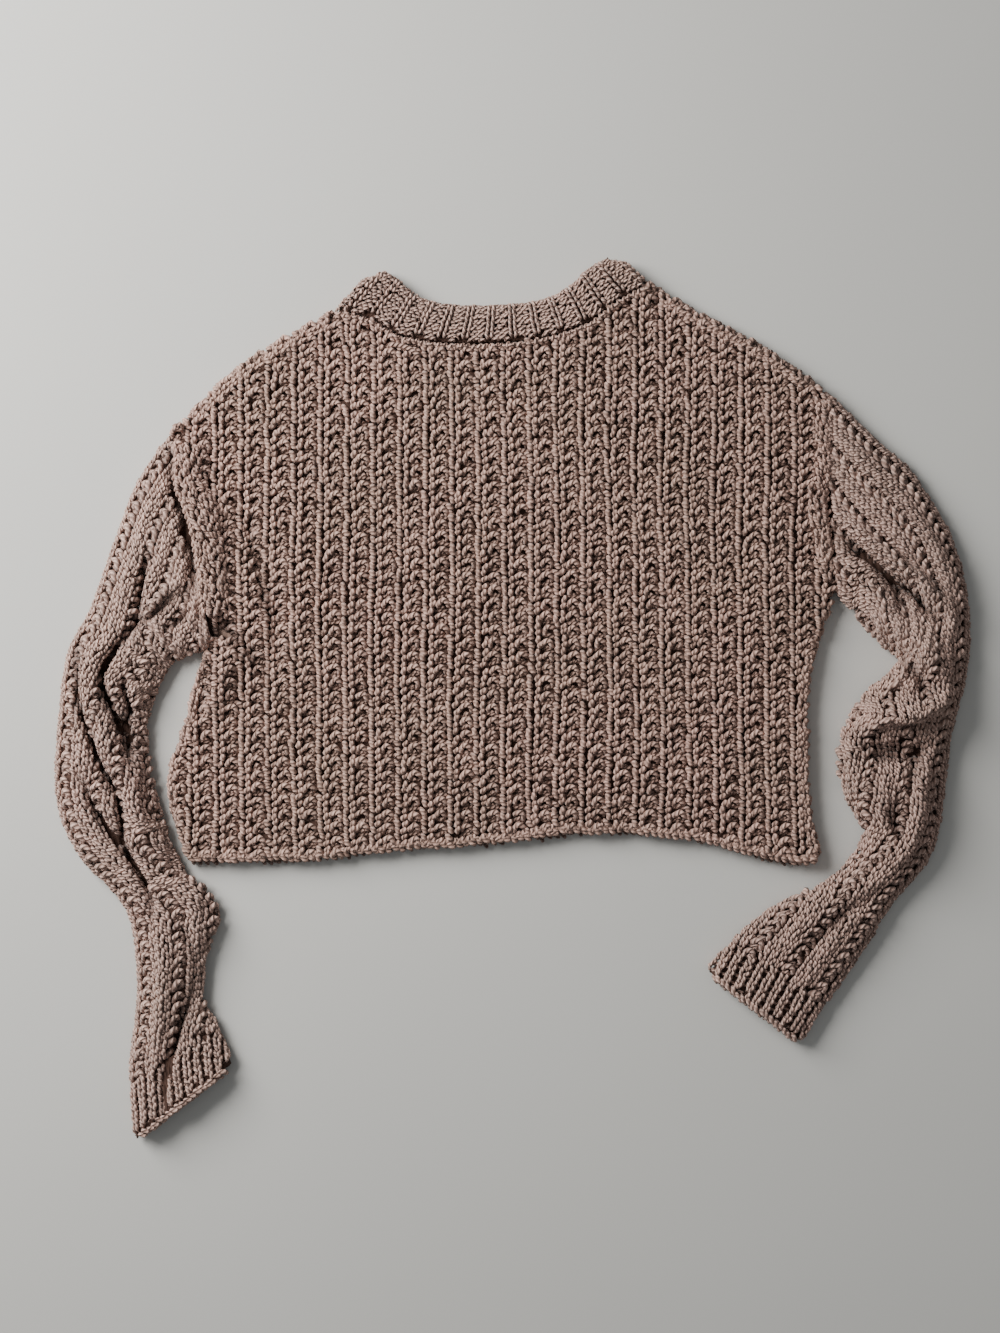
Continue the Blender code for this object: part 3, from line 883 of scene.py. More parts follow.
class Yarn:
    """Collects strands on surfaces and joins them into one mesh."""

    def __init__(self, name: str, seed: int) -> None:
        """Starts an empty piece.

        Args:
            name: the piece's name.
            seed: seed of the small unevenness of its stitches.
        """
        self.name = name
        self.chance = np.random.default_rng(seed)
        self.batches: list[tuple[np.ndarray, np.ndarray, np.ndarray, np.ndarray, int]] = []

    def knit(self, surface: Surface, column: np.ndarray, row: np.ndarray, stitch: Stitch,
             keep: Keep = showing) -> None:
        """Knits a stitch at each column and row.

        Args:
            surface: the cloth's surface.
            column: distances across of the stitches' middles.
            row: distances along of the stitches' middles.
            stitch: the motif and how it is worked.
            keep: says which places belong to the piece.
        """
        stretch = surface.stretch_at(column, row)
        uneven, size_mm = stitch.uneven, MM * stitch.scale
        for strand in stitch.strands:
            knots = np.array(strand.knots)
            count, size = len(column), len(knots)
            turn = self.chance.normal(0, CHANCE.turn * uneven, (count, 1))
            middle = knots[:, 0:2].mean(axis=0)
            x, y = (knots[:, 0] - middle[0])[None], (knots[:, 1] - middle[1])[None]
            wide = self.chance.normal(1, CHANCE.width * uneven, (count, 1))
            jitter = self.chance.normal(0, CHANCE.place * uneven, (count, 1, 2))
            bend = self.chance.normal(0, CHANCE.bend * uneven, (count, size, 2))
            across = x * np.cos(turn) * wide - y * np.sin(turn) + middle[0]
            along = x * np.sin(turn) + y * np.cos(turn) + middle[1]
            across = (across + jitter[..., 0] + bend[..., 0]) * size_mm
            along = (along + jitter[..., 1] + bend[..., 1]) * size_mm
            lift = knots[None, :, 2] + self.chance.normal(0, CHANCE.height * uneven, (count, 1))
            girth = knots[None, :, 3] * self.chance.normal(1, CHANCE.girth * uneven, (count, 1))
            place = column[:, None] + across, row[:, None] + along / stretch[:, None]
            points, normals = surface.at(*place)
            points = points + normals * (lift * stitch.radius)[..., None]
            spans = np.linalg.norm(np.diff(points, axis=1), axis=2).max(axis=1)
            # painted shade: strands in hollows and creases, and strands below the face, are darker
            hollow = surface.painted_shade_at(*place)
            # no stitch is kept deep in a crease, so the darker shell there shows as painted shade
            chosen = (keep(points[:, size // 2]) & surface.holds(*place).all(axis=1)
                      & (spans < LONGEST) & (hollow[:, size // 2] < SIZES.painted_dark_limit))
            shade = 1 - SHADE.hollow * hollow - SHADE.sunk * np.clip(-lift, 0, SHADE.sunk_most)
            shade *= SHADE.lowest + SHADE.spread * self.chance.random((count, 1))
            self.batches.append((points[chosen], normals[chosen], (girth * stitch.radius)[chosen],
                                 np.clip(shade, SHADE.least, SHADE.most)[chosen], strand.sides))

    def knit_rows(self, surface: Surface, column: float, stitch: Stitch, keep: Keep = showing,
                  low: float = -1.0, high: float = 9.0) -> None:
        """Knits one column of stitches their pitch apart.

        Args:
            surface: the cloth's surface.
            column: distance across of the column.
            stitch: the motif and how it is worked.
            keep: says which places belong to the piece.
            low: the lowest row's distance along.
            high: the highest row's distance along.
        """
        row = surface.marks(column, stitch.pitch)
        row = row[(row > low) & (row < high)]
        self.knit(surface, np.full(len(row), column), row, stitch, keep)

    def build(self, material: bpy.types.Material, slot: Slot) -> bpy.types.Object:
        """Joins the strands into one smooth mesh with its maps, and dresses it.

        Args:
            material: the yarn's finish.
            slot: the record's slot, not used.

        Returns:
            The piece.
        """
        total = sum(len(batch[0]) for batch in self.batches)
        slots = int(math.ceil(math.sqrt(total)))
        vertices, faces, atlas, ply, tone_and_painted_shade = [], [], [], [], []
        start = first = 0
        for points, normals, radii, shade, sides in self.batches:
            if not len(points):
                continue
            made = tubes(points, normals, radii, sides)
            faces.append(made.faces + start)
            vertices.append(made.vertices)
            number = np.arange(first, first + len(points))
            corner = np.stack([number % slots, number // slots], axis=1)[:, None, :]
            inset = corner + ATLAS_EDGE + (1 - 2 * ATLAS_EDGE) * made.shares[None]
            atlas.append((inset / slots).reshape(-1, 2))
            ply.append(made.ply.reshape(-1, 2))
            tone_and_painted_shade.append(np.concatenate([np.repeat(shade, sides, axis=1), shade[:, :1],
                                        shade[:, -1:]], axis=1).ravel())
            start += len(made.vertices)
            first += len(points)
        everything = np.vstack(vertices)
        everything[:, 2] = np.maximum(everything[:, 2], FLOOR_GAP)
        piece = link_mesh(self.name, everything, np.vstack(faces))
        for title, values in (("OFBake", atlas), ("Ply", ply)):
            layer = piece.data.uv_layers.new(name=title)
            layer.data.foreach_set("uv", np.vstack(values).astype(np.float32).ravel())
        # the attribute carries each strand's painted shade, times its brightness by chance
        attribute = piece.data.attributes.new("tone_and_painted_shade", "FLOAT", "POINT")
        attribute.data.foreach_set("value", np.concatenate(tone_and_painted_shade).astype(np.float32))
        piece.data.materials.append(material)
        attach(piece, "root")
        LOG.info("%s: %d strands, %d triangles", self.name, total, len(piece.data.polygons))
        return piece


def shell(name: str, points: np.ndarray, keep: np.ndarray | None, closed: bool,
          material: bpy.types.Material, slot: Slot) -> bpy.types.Object:
    """Makes the thin cloth that stitches lie on, from a grid of places.

    Args:
        name: the piece's name.
        points: rows by columns by 3.
        keep: the grid's faces that belong to it, or None for all.
        closed: whether the last column joins the first.
        material: the cloth's finish.
        slot: the record's slot, not used.

    Returns:
        The piece.
    """
    rows, columns = points.shape[:2]
    index = np.arange(rows * columns).reshape(rows, columns)
    right = np.roll(index, -1, axis=1)
    last = columns if closed else columns - 1
    faces = np.stack([index[:-1, :last], right[:-1, :last], right[1:, :last], index[1:, :last]],
                     axis=-1)
    faces = faces.reshape(-1, 4) if keep is None else faces[keep]
    used, compact = np.unique(faces, return_inverse=True)
    vertices = points.reshape(-1, 3)[used]
    piece = link_mesh(name, vertices, compact.reshape(-1, 4))
    layer = piece.data.uv_layers.new(name="Knit")
    grid = np.stack(np.meshgrid(np.arange(columns + 1), np.arange(rows)), axis=-1) * SIZES.grid
    corners = np.stack([grid[:-1, :last], grid[:-1, 1:last + 1], grid[1:, 1:last + 1],
                        grid[1:, :last]], axis=2)
    corners = corners.reshape(-1, 4, 2) if keep is None else corners[keep]
    layer.data.foreach_set("uv", corners.reshape(-1, 2).astype(np.float32).ravel())
    bpy.ops.object.select_all(action="DESELECT")
    bpy.context.view_layer.objects.active = piece
    piece.select_set(True)
    wall = piece.modifiers.new("wall", "SOLIDIFY")
    wall.thickness, wall.offset = SIZES.shell, -1.0
    bpy.ops.object.modifier_apply(modifier=wall.name)
    bpy.ops.object.mode_set(mode="EDIT")
    bpy.ops.mesh.select_all(action="SELECT")
    bpy.ops.mesh.normals_make_consistent(inside=False)
    bpy.ops.object.mode_set(mode="OBJECT")
    piece.data.materials.append(material)
    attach(piece, "root")
    LOG.info("%s: %d faces", name, len(piece.data.polygons))
    return piece


# --------------------------------------------------------------------------- finishes

class Value:
    """A socket in shader maths, with Python's operators."""

    def __init__(self, graph: Graph, socket: bpy.types.NodeSocket) -> None:
        """Wraps an output socket."""
        self.graph, self.socket = graph, socket

    def _math(self, operation: str, first: object, second: object = 0.0) -> Value:
        """A Math node on this socket."""
        return self.graph.add("ShaderNodeMath", {"operation": operation}, {0: first, 1: second})

    def __add__(self, other: object) -> Value:
        """Sum."""
        return self._math("ADD", self, other)

    def __sub__(self, other: object) -> Value:
        """Difference."""
        return self._math("SUBTRACT", self, other)

    def __rsub__(self, other: object) -> Value:
        """Difference from a number."""
        return self._math("SUBTRACT", other, self)

    def __mul__(self, other: object) -> Value:
        """Product."""
        return self._math("MULTIPLY", self, other)

    def wave(self) -> Value:
        """Sine of turns, from 0 to 1."""
        return self._math("SINE", self * (2 * math.pi)) * 0.5 + 0.5

    def fraction(self) -> Value:
        """The part after the point."""
        return self._math("FRACT", self)

    def size(self) -> Value:
        """Without its sign."""
        return self._math("ABSOLUTE", self)


class Graph:
    """Builds one material's nodes."""

    def __init__(self, name: str) -> None:
        """Starts a material with an empty Principled shader.

        Args:
            name: the material's name.
        """
        self.material = bpy.data.materials.new(name)
        self.material.use_nodes = True
        self.tree = self.material.node_tree
        self.shader = self.tree.nodes["Principled BSDF"]

    def add(self, kind: str, settings: dict[str, object], inputs: dict[object, object],
            output: int | str = 0) -> Value:
        """Adds a node.

        Args:
            kind: the node's type.
            settings: its properties, or a ramp's stops under "stops".
            inputs: numbers, colours or Values for its sockets.
            output: which of its outputs is returned.

        Returns:
            The output.
        """
        node = self.tree.nodes.new(kind)
        stops = settings.pop("stops", None)
        for title, value in settings.items():
            setattr(node, title, value)
        if stops:
            ramp = node.color_ramp.elements
            while len(ramp) < len(stops):
                ramp.new(0.5)
            for element, (place, colour) in zip(ramp, stops):
                element.position, element.color = place, (*colour, 1)
        self.feed(node, inputs)
        return Value(self, node.outputs[output])

    def feed(self, node: bpy.types.Node, inputs: dict[object, object]) -> None:
        """Links or sets a node's sockets.

        Args:
            node: the node.
            inputs: numbers, colours or Values for its sockets.
        """
        for title, value in inputs.items():
            if isinstance(value, Value):
                self.tree.links.new(value.socket, node.inputs[title])
            else:
                node.inputs[title].default_value = value

    def mix(self, factor: object, first: object, second: object, blend: str = "MIX") -> Value:
        """A colour between two colours."""
        return self.add("ShaderNodeMix", {"data_type": "RGBA", "blend_type": blend},
                        {0: factor, 6: first, 7: second}, 2)

    def noise(self, place: Value, scale: float, detail: float = 2.0) -> Value:
        """Soft noise, from 0 to 1, with scale spots to a metre."""
        return self.add("ShaderNodeTexNoise", {}, {"Vector": place, "Scale": scale,
                                                   "Detail": detail, "Roughness": 0.6})

    def bump(self, height: Value, distance: float, strength: float = 1.0) -> Value:
        """Relief of a height from 0 to 1."""
        return self.add("ShaderNodeBump", {}, {"Height": height, "Distance": distance,
                                               "Strength": strength})

    def parts(self, vector: Value) -> tuple[Value, Value]:
        """The first two numbers of a vector."""
        split = self.add("ShaderNodeSeparateXYZ", {}, {0: vector})
        return split, Value(self, split.socket.node.outputs[1])


@dataclass(frozen=True)
class Wool:
    """Two-ply wool yarn, uneven in colour and fuzzy, with painted shade on its sides and between
    its plies.
    """

    name: str
    warm: Colour = (0.595, 0.366, 0.298, 1)
    cool: Colour = (0.475, 0.316, 0.243, 1)
    ply_gap_shade: Colour = (0.13, 0.066, 0.045, 1)
    ply_gap_shade_depth: float = 0.62  # how much painted shade shows between the plies
    patch: float = 9.0  # patches of warmer yarn to a metre
    fibres: float = 620.0  # spots of fuzz to a metre
    patch_contrast: float = 1.6
    fuzz_contrast: float = 0.7
    painted_side_shade: float = 0.72  # painted shade: the yarn's sides and underside darker than its top
    ply_turn: float = 1.5  # the plies' turns for each yarn width along it
    relief: float = 1.6 * MM
    roughness: float = 0.88
    sheen: float = 0.22

    def build(self) -> bpy.types.Material:
        """Makes the material.

        Returns:
            The material.
        """
        graph = Graph(self.name)
        place = graph.add("ShaderNodeTexCoord", {}, {}, "Object")
        strand = graph.add("ShaderNodeUVMap", {"uv_map": "Ply"}, {})
        tone_and_painted_shade = graph.add("ShaderNodeAttribute", {"attribute_name": "tone_and_painted_shade"}, {}, "Fac")
        along, around = graph.parts(strand)
        ply = (along * self.ply_turn + around * 2.0).wave()
        # painted shade: each yarn's top is lighter, its sides and underside darker
        crest = (around + 0.25).wave()
        fuzz = graph.noise(place, self.fibres, 3.0)
        patch = graph.noise(place, self.patch)
        body = graph.mix(patch * self.patch_contrast - 0.3, self.cool, self.warm)
        # the strands' painted shade and their brightness by chance, with fuzz
        shade = tone_and_painted_shade * (fuzz * self.fuzz_contrast + 0.68)
        shade = shade * (crest * self.painted_side_shade + 0.42)
        lit = graph.mix(1.0, body, graph.add("ShaderNodeCombineColor", {}, {
            0: shade, 1: shade, 2: shade}), "MULTIPLY")
        # painted shade in the grooves between the plies
        colour = graph.mix((1 - ply) * (1 - ply) * self.ply_gap_shade_depth, lit, self.ply_gap_shade)
        height = ply * 0.9 + fuzz * 0.35
        graph.feed(graph.shader, {
            "Base Color": colour, "Roughness": self.roughness, "Specular IOR Level": 0.25,
            "Sheen Weight": self.sheen, "Sheen Roughness": 0.5, "Sheen Tint": (0.9, 0.8, 0.75, 1),
            "Normal": graph.bump(height, self.relief),
        })
        return graph.material


@dataclass(frozen=True)
class Ground:
    """Knit cloth seen between its stitches, or on a side that carries no raised stitches.
    Its knit's low parts get painted shade.
    """

    name: str
    colour: Colour
    # painted shade in the knit's low parts
    painted_dark: Colour
    fibres: float = 1300.0  # spots of fuzz to a metre
    slant: float = 1.1  # rows that a stitch's legs slope over
    relief: float = 1.2 * MM

    def build(self) -> bpy.types.Material:
        """Makes the material.

        Returns:
            The material.
        """
        graph = Graph(self.name)
        place = graph.add("ShaderNodeTexCoord", {}, {}, "Object")
        knit = graph.add("ShaderNodeUVMap", {"uv_map": "Knit"}, {})
        across, along = graph.parts(knit)
        aside = ((across * (1 / SIZES.vee)).fraction() - 0.5).size()
        stitch = (along * (1 / SIZES.row) - aside * self.slant).wave()
        ridge = (aside * 2.0).wave()
        height = stitch * 0.6 + (1 - ridge) * 0.4
        fuzz = graph.noise(place, self.fibres)
        # painted shade: the knit's low parts are mixed towards the darker colour
        colour = graph.mix(height * 0.8 + fuzz * 0.2, self.painted_dark, self.colour)
        graph.feed(graph.shader, {
            "Base Color": colour, "Roughness": 0.92, "Specular IOR Level": 0.15,
            "Normal": graph.bump(height + fuzz * 0.2, self.relief, 0.8),
        })
        return graph.material


@dataclass(frozen=True)
class Paint:
    """The plain floor's matt paint."""

    name: str
    colour: Colour

    def build(self) -> bpy.types.Material:
        """Makes the material.

        Returns:
            The material.
        """
        graph = Graph(self.name)
        place = graph.add("ShaderNodeTexCoord", {}, {}, "Object")
        cloud = graph.noise(place, 3.0, 1.0)
        pale = tuple(min(1.0, part * 1.06) for part in self.colour[:3]) + (1,)
        graph.feed(graph.shader, {
            "Base Color": graph.mix(cloud, self.colour, pale), "Roughness": 0.75,
            "Specular IOR Level": 0.2,
        })
        return graph.material


@dataclass(frozen=True)
class Finishes:
    """All of the garment's materials."""

    body: bpy.types.Material
    sleeves: bpy.types.Material
    rib: bpy.types.Material
    # the cloth under the stitches, coloured darker as painted shade between them
    inner: bpy.types.Material
    outer: bpy.types.Material


def make_finishes() -> Finishes:
    """Makes the garment's materials.

    Returns:
        All of them.
    """
    return Finishes(
        body=Wool("wool_body").build(),
        sleeves=Wool("wool_sleeves", warm=(0.65, 0.418, 0.345, 1), cool=(0.52, 0.352, 0.283, 1),
                     patch=14.0).build(),
        rib=Wool("wool_rib", warm=(0.655, 0.425, 0.35, 1), cool=(0.53, 0.358, 0.285, 1)).build(),
        # the cloth under the stitches is coloured darker, as painted shade between them
        inner=Ground("knit_shade", (0.115, 0.064, 0.048, 1), (0.050, 0.026, 0.019, 1)).build(),
        outer=Ground("knit_plain", (0.40, 0.27, 0.215, 1), (0.10, 0.055, 0.04, 1)).build(),
    )


# --------------------------------------------------------------------------- the garment

def below(points: np.ndarray, normals: np.ndarray) -> np.ndarray:
    """Sinks a grid below the face, and keeps it off the floor.

    Args:
        points: rows by columns by 3.
        normals: directions outwards there.

    Returns:
        The lower grid.
    """
    sunk = points - normals * SIZES.sink
    sunk[..., 2] = np.maximum(sunk[..., 2], SIZES.shell + CLOTH_GAP)
    return sunk


@dataclass
class Body:
    """The back and front, with the hem's, shoulders' and armholes' edge stitches."""

    finishes: Finishes
    first_lane: int = -13
    last_lane: int = 13
    lane_shift: float = 0.3
    wander: float = 1.0 * MM  # how far lanes stray to each side
    slow: float = 61 * MM  # rows to a radian of their slow bend
    quick: float = 23 * MM  # and of their quick one, half as wide
    slow_drift: float = 16.0  # radians to a metre that the slow bend lags, across
    quick_drift: float = 30.0
    hem_margin: float = 3.0 * MM
    neck_margin: float = 2.5 * MM
    front_height: float = 3.0 * MM  # of the front's upper side
    front_neck: float = 20 * MM  # how much lower the front's neckline is
    cloth_margin: float = 1.5 * MM  # from the hem to the cloth's edge
    roll_arc: tuple[float, float] = (0.2, 0.74)  # part of a half wave that an armhole's roll has
    upper_edge: float = 9.6 * MM  # height of the hem's upper chain
    lower_edge: float = 3.2 * MM  # height of the hem's lower chain
    margin: float = 14 * MM  # how far the surface goes past the widest places
    run_out: float = 60 * MM  # how far the outline goes past the garment

    def __post_init__(self) -> None:
        """Works out the edges and the surface."""
        self.hem = curve(HEM, 60)
        self.seam = curve(NECK_SEAM, 60)
        columns = np.arange(-280 * MM - self.margin, 262 * MM + self.margin, SIZES.grid)
        rows = np.arange(-136 * MM, 346 * MM, SIZES.grid)
        self.flat = np.stack(np.meshgrid(columns, rows), axis=-1)
        points = rolled_surface(self.flat, self.outline(), BODY_CREASES)
        self.surface = Surface(points, columns[0], rows[0], SIZES.grid)

    def outline(self) -> np.ndarray:
        """Runs the folded edges out past the armholes and the hem.

        Returns:
            A polyline in plan, with the cloth on its right.
        """
        left, right = curve(LEFT_SIDE, 24), curve(RIGHT_SIDE, 24)
        left_top, right_top = curve(LEFT_SHOULDER, 24), curve(RIGHT_SHOULDER, 24)
        down, aside = np.array((0.0, -self.run_out)), np.array((self.run_out, 0.0))
        return np.vstack([
            left[:1] + down, left, left[-1:] - aside, left_top[:1] - aside, left_top,
            right_top, right_top[-1:] + aside, right[-1:] + aside, right[::-1], right[:1] + down,
        ])

    def inside(self, places: np.ndarray, hem_margin: float, neck_margin: float) -> np.ndarray:
        """Says whether places in plan are on the back, between its hem, neck and armholes.

        Args:
            places: rows that start with x and y.
            hem_margin: least distance from the hem.
            neck_margin: least distance from the neck's seam.

        Returns:
            Yes or no for each place.
        """
        x, y = places[:, 0], places[:, 1]
        y_hem = np.interp(x, self.hem[:, 0], self.hem[:, 1])
        y_neck = np.interp(x, self.seam[:, 0], self.seam[:, 1], left=9, right=9)
        inside = (y > y_hem + hem_margin) & (y < y_neck - neck_margin)
        ends = ((1, LEFT_SIDE[-1], LEFT_SHOULDER[0]), (-1, RIGHT_SIDE[-1], RIGHT_SHOULDER[-1]))
        for sign, low, high in ends:
            low, high = plan((low, high))
            edge = np.interp(y, (low[1], high[1]), (low[0], high[0]))
            inside &= ~(((x - edge) * sign < 0) & (y > low[1]))
        return inside

    def keep(self, places: np.ndarray) -> np.ndarray:
        """Whether stitches show on the back."""
        return self.inside(places, self.hem_margin, self.neck_margin) & showing(places)

    def knit(self) -> list[bpy.types.Object]:
        """Knits the back's lanes, in two halves.

        Returns:
            The halves.
        """
        lanes = (np.arange(self.first_lane, self.last_lane) + self.lane_shift) * SIZES.lane
        column, row = (g.ravel() for g in np.meshgrid(lanes, self.surface.rows[0] + np.arange(
            0, np.ptp(self.surface.rows), SIZES.cell)))
        wander = self.wander * (np.sin(row / self.slow + column * self.slow_drift)
                                + 0.5 * np.sin(row / self.quick + column * self.quick_drift))
        pieces = []
        for seed, name, part in ((11, "yarn_back_left", column < 0),
                                 (12, "yarn_back_right", column >= 0)):
            yarn = Yarn(name, seed)
            yarn.knit(self.surface, (column + wander)[part], row[part], LANE, self.keep)
            pieces.append(yarn.build(self.finishes.body, Slot.BODY))
        return pieces

    def edges(self) -> bpy.types.Object:
        """Works the seams and edges.

        Returns:
            All of them as one piece.
        """
        yarn = Yarn("yarn_seams", 13)
        self.cast_off(yarn)
        for band in ARMHOLE_BANDS:
            self.armhole(yarn, band)
        for table, turn in ((LEFT_SIDE, -1), (RIGHT_SIDE, 1)):
            route = self.beside(table, turn * SIDE_TRIM.inset)[:32]
            self.trim(yarn, route, SIDE_TRIM)
        for table in (LEFT_SHOULDER, RIGHT_SHOULDER):
            route = self.beside(table, -SHOULDER_TRIM.inset)[3:-2]
            self.trim(yarn, route, SHOULDER_TRIM)
        self.trim(yarn, self.seam - np.array((0, NECK_TRIM.inset * MM)), NECK_TRIM)
        self.tail(yarn)
        return yarn.build(self.finishes.body, Slot.BODY)

    def beside(self, table: Route, offset: float) -> np.ndarray:
        """A table's curve moved to the left, by an offset in millimetres."""
        route = curve(table, 40)
        return route + leftward(unit(np.gradient(route, axis=0))) * offset * MM

    def trim(self, yarn: Yarn, route: np.ndarray, trim: Trim) -> None:
        """Works one column of stitches on a strip over a route in plan."""
        strip = strip_surface(route, SIZES.face + trim.lift * MM, trim.crown * MM)
        yarn.knit_rows(strip, 0.0, trim.stitch, everywhere)

    def cast_off(self, yarn: Yarn) -> None:
        """Works the two cast-off edges of the hem, one over the other and both uneven.

        Args:
            yarn: the piece that they join.
        """
        hem = curve(HEM, 90)
        run = run_of(hem)
        wave = 0.8 * MM * np.sin(run / (9 * MM)) + 0.7 * MM * np.sin(run / (37 * MM))
        for shift, height in ((wave + 1.2 * MM, self.upper_edge),
                              (1.5 * MM - wave, self.lower_edge)):
            route = hem + np.column_stack([np.zeros(len(hem)), shift])
            strip = strip_surface(route, height, 2.0 * MM)
            yarn.knit_rows(strip, 0.0, HEM_CHAIN, everywhere)
            yarn.knit_rows(strip, 2.4 * MM, HEM_EDGE, everywhere)

    def armhole(self, yarn: Yarn, band: Band) -> None:
        """Works a raised band of plain columns along an armhole, and its seam's edge.

        Args:
            yarn: the piece that it joins.
            band: its sizes and its route.
        """
        route = curve(band.route)
        wobble = band.wobble * MM * np.sin(run_of(route) / (8 * MM))
        fine = route + np.column_stack([wobble, np.zeros(len(route))])
        arc = np.sin(math.pi * np.linspace(*self.roll_arc, len(route)))
        strip = strip_surface(fine, SIZES.face + band.rise * MM * arc, band.crown * MM,
                              band.half * MM + 4 * MM)
        for column in band.columns:
            yarn.knit_rows(strip, column * MM, ROLL_VEE, everywhere)
        yarn.knit_rows(strip, band.edge * MM, ROLL_EDGE, everywhere)

    def tail(self, yarn: Yarn) -> None:
        """Ties the small knot at the top of the left armhole and lays the tail at the neck.

        Args:
            yarn: the piece that they join.
        """
        angle = np.linspace(0, 4.4 * math.pi, 15)
        middle = plan(((-265, 215),))[0]
        knot = np.column_stack([
            middle[0] + 3.2 * MM * np.cos(angle), middle[1] + 2.6 * MM * np.sin(angle * 1.5),
            SIZES.face + 3.5 * MM + 2.2 * MM * np.sin(angle * 0.8),
        ])
        short = curve(((-97, 281), (-88, 280), (-80, 277), (-74, 272)), 15)
        laid = np.column_stack([short, np.full(15, SIZES.face + 2.2 * MM)])
        for path in (knot, laid):
            normals = np.tile((0.0, 0.0, 1.0), (1, len(path), 1))
            radii = np.full((1, len(path)), 1.9 * MM)
            yarn.batches.append((path[None], normals, radii, np.ones_like(radii), 8))

    def cloth(self) -> tuple[bpy.types.Object, bpy.types.Object]:
        """Makes the thin cloth.

        Returns:
            The back and the front.
        """
        flat = self.flat[::2, ::2]
        near = nearest_on(self.outline(), flat.reshape(-1, 2))
        depth = (-near.side * near.apart).reshape(flat.shape[:2])
        points = below(self.surface.points, self.surface.normals)[::2, ::2]
        middle = (points[:-1, :-1] + points[1:, 1:]) / 2
        keep = self.inside(middle.reshape(-1, 3), self.cloth_margin, 1.0 * MM)
        keep = keep.reshape(middle.shape[:2]) & (depth[:-1, :-1] > -SIZES.roll)
        # the back's cloth is coloured darker, as painted shade between the stitches
        back = shell("cloth_back", points, keep, False, self.finishes.inner, Slot.BODY)
        height = np.full(flat.shape[:2] + (1,), self.front_height)
        flat = np.concatenate([flat, height], axis=2)
        centre = (flat[:-1, :-1] + flat[1:, 1:]) / 2
        shown = self.inside(centre.reshape(-1, 3), self.cloth_margin, self.front_neck)
        shown = shown.reshape(centre.shape[:2]) & (depth[:-1, :-1] > 2.5 * MM)
        front = shell("cloth_front", flat, shown, False, self.finishes.outer, Slot.BENEATH)
        return back, front


@dataclass
class Sleeve:
    """A sleeve with bands of open and of smooth knitting along it, and its ribbed cuff."""

    name: str
    table: tuple[Section, ...]
    cuff: tuple[Section, ...]
    creases: tuple[Crease, ...]
    finishes: Finishes
    seed: int
    first_band: float
    open_half: float = 6.4 * MM  # half of an open band's width
    edge_drop: float = 6.6 * MM  # how much lower the cuff's under edge is

    def __post_init__(self) -> None:
        """Works out the surface of the sleeve and its cuff, and the row where the cuff starts."""
        self.surface = tube_surface(self.table + self.cuff[1:], self.creases)
        start = plan((self.cuff[0][0:2], self.cuff[0][2:4])).mean(axis=0)
        middles = np.array([
            (row[row[:, 0].argmin(), 0:2] + row[row[:, 0].argmax(), 0:2]) / 2
            for row in self.surface.points
        ])
        self.cuff_row = self.surface.rows[np.linalg.norm(middles - start, axis=1).argmin()]

    def knit(self) -> bpy.types.Object:
        """Knits the sleeve's bands.

        Returns:
            All of them as one piece.
        """
        surface, high = self.surface, self.cuff_row
        yarn = Yarn(f"yarn_{self.name}_sleeve", self.seed)
        start = surface.columns[0] - SIZES.sleeve_lane
        while start < surface.columns[-1]:
            middle = start + self.first_band
            yarn.knit_rows(surface, middle, EYELET, high=high)
            edge = middle + self.open_half
            for vee, stitch in enumerate(BAND_VEES):
                yarn.knit_rows(surface, edge + (vee + 0.5) * SIZES.vee, stitch, high=high)
            start += SIZES.sleeve_lane
        return yarn.build(self.finishes.sleeves, Slot.SLEEVES)

    def knit_cuff(self) -> bpy.types.Object:
        """Knits the cuff's ribs and its cast-off edges.

        Returns:
            All of them as one piece.
        """
        surface, low = self.surface, self.cuff_row
        yarn = Yarn(f"yarn_{self.name}_cuff", self.seed + 20)
        for column in np.arange(-14 * MM, surface.columns[-1], SIZES.cuff_rib):
            yarn.knit_rows(surface, column, CUFF_VEE, low=low)
            yarn.knit_rows(surface, column + SIZES.cuff_rib / 2, CUFF_FLOAT, low=low)
        end = surface.points[-1]
        top = end[end[:, 2] > SIZES.face - SIDE_LEVEL][::3]
        along = unit(surface.points[-1].mean(axis=0) - surface.points[-9].mean(axis=0))[0:2]
        for drop, shift in ((0.0, 0.5 * MM), (self.edge_drop, 1.5 * MM)):
            strip = strip_surface(top[:, 0:2] + along * shift, top[:, 2] - drop, 2 * MM)
            yarn.knit_rows(strip, 0.0, CUFF_EDGE, everywhere)
        return yarn.build(self.finishes.rib, Slot.RIB)

    def cloth(self, table: Sequence[Section], creases: Sequence[Crease], name: str,
              slot: Slot) -> tuple[bpy.types.Object, tuple[float, float]]:
        """Makes a closed tube of thin cloth on some sections.

        Args:
            table: the sections.
            creases: ridges and troughs of the cloth.
            name: the piece's name.
            slot: the record's slot.

        Returns:
            The piece and its flat size.
        """
        fine, length = sections(table, 4 * MM)
        rings = [ring(row[0:2], row[2:4], row[4], creases)[1][:, 0:3] for row in fine]
        points = np.array(rings)
        across = np.gradient(points, axis=1)
        along = np.gradient(points, axis=0)
        normals = unit(np.cross(across, along))
        normals *= 1 if np.median(normals[:, 20:-20, 2]) > 0 else -1
        sunk = below(points, normals)[:, :-1]
        steps = np.linalg.norm(np.diff(points, axis=1), axis=2).sum(axis=1).mean()
        # the sleeve's cloth is coloured darker, as painted shade between the stitches
        cover = shell(name, sunk, None, True, self.finishes.inner, slot)
        return cover, (float(steps), float(length))


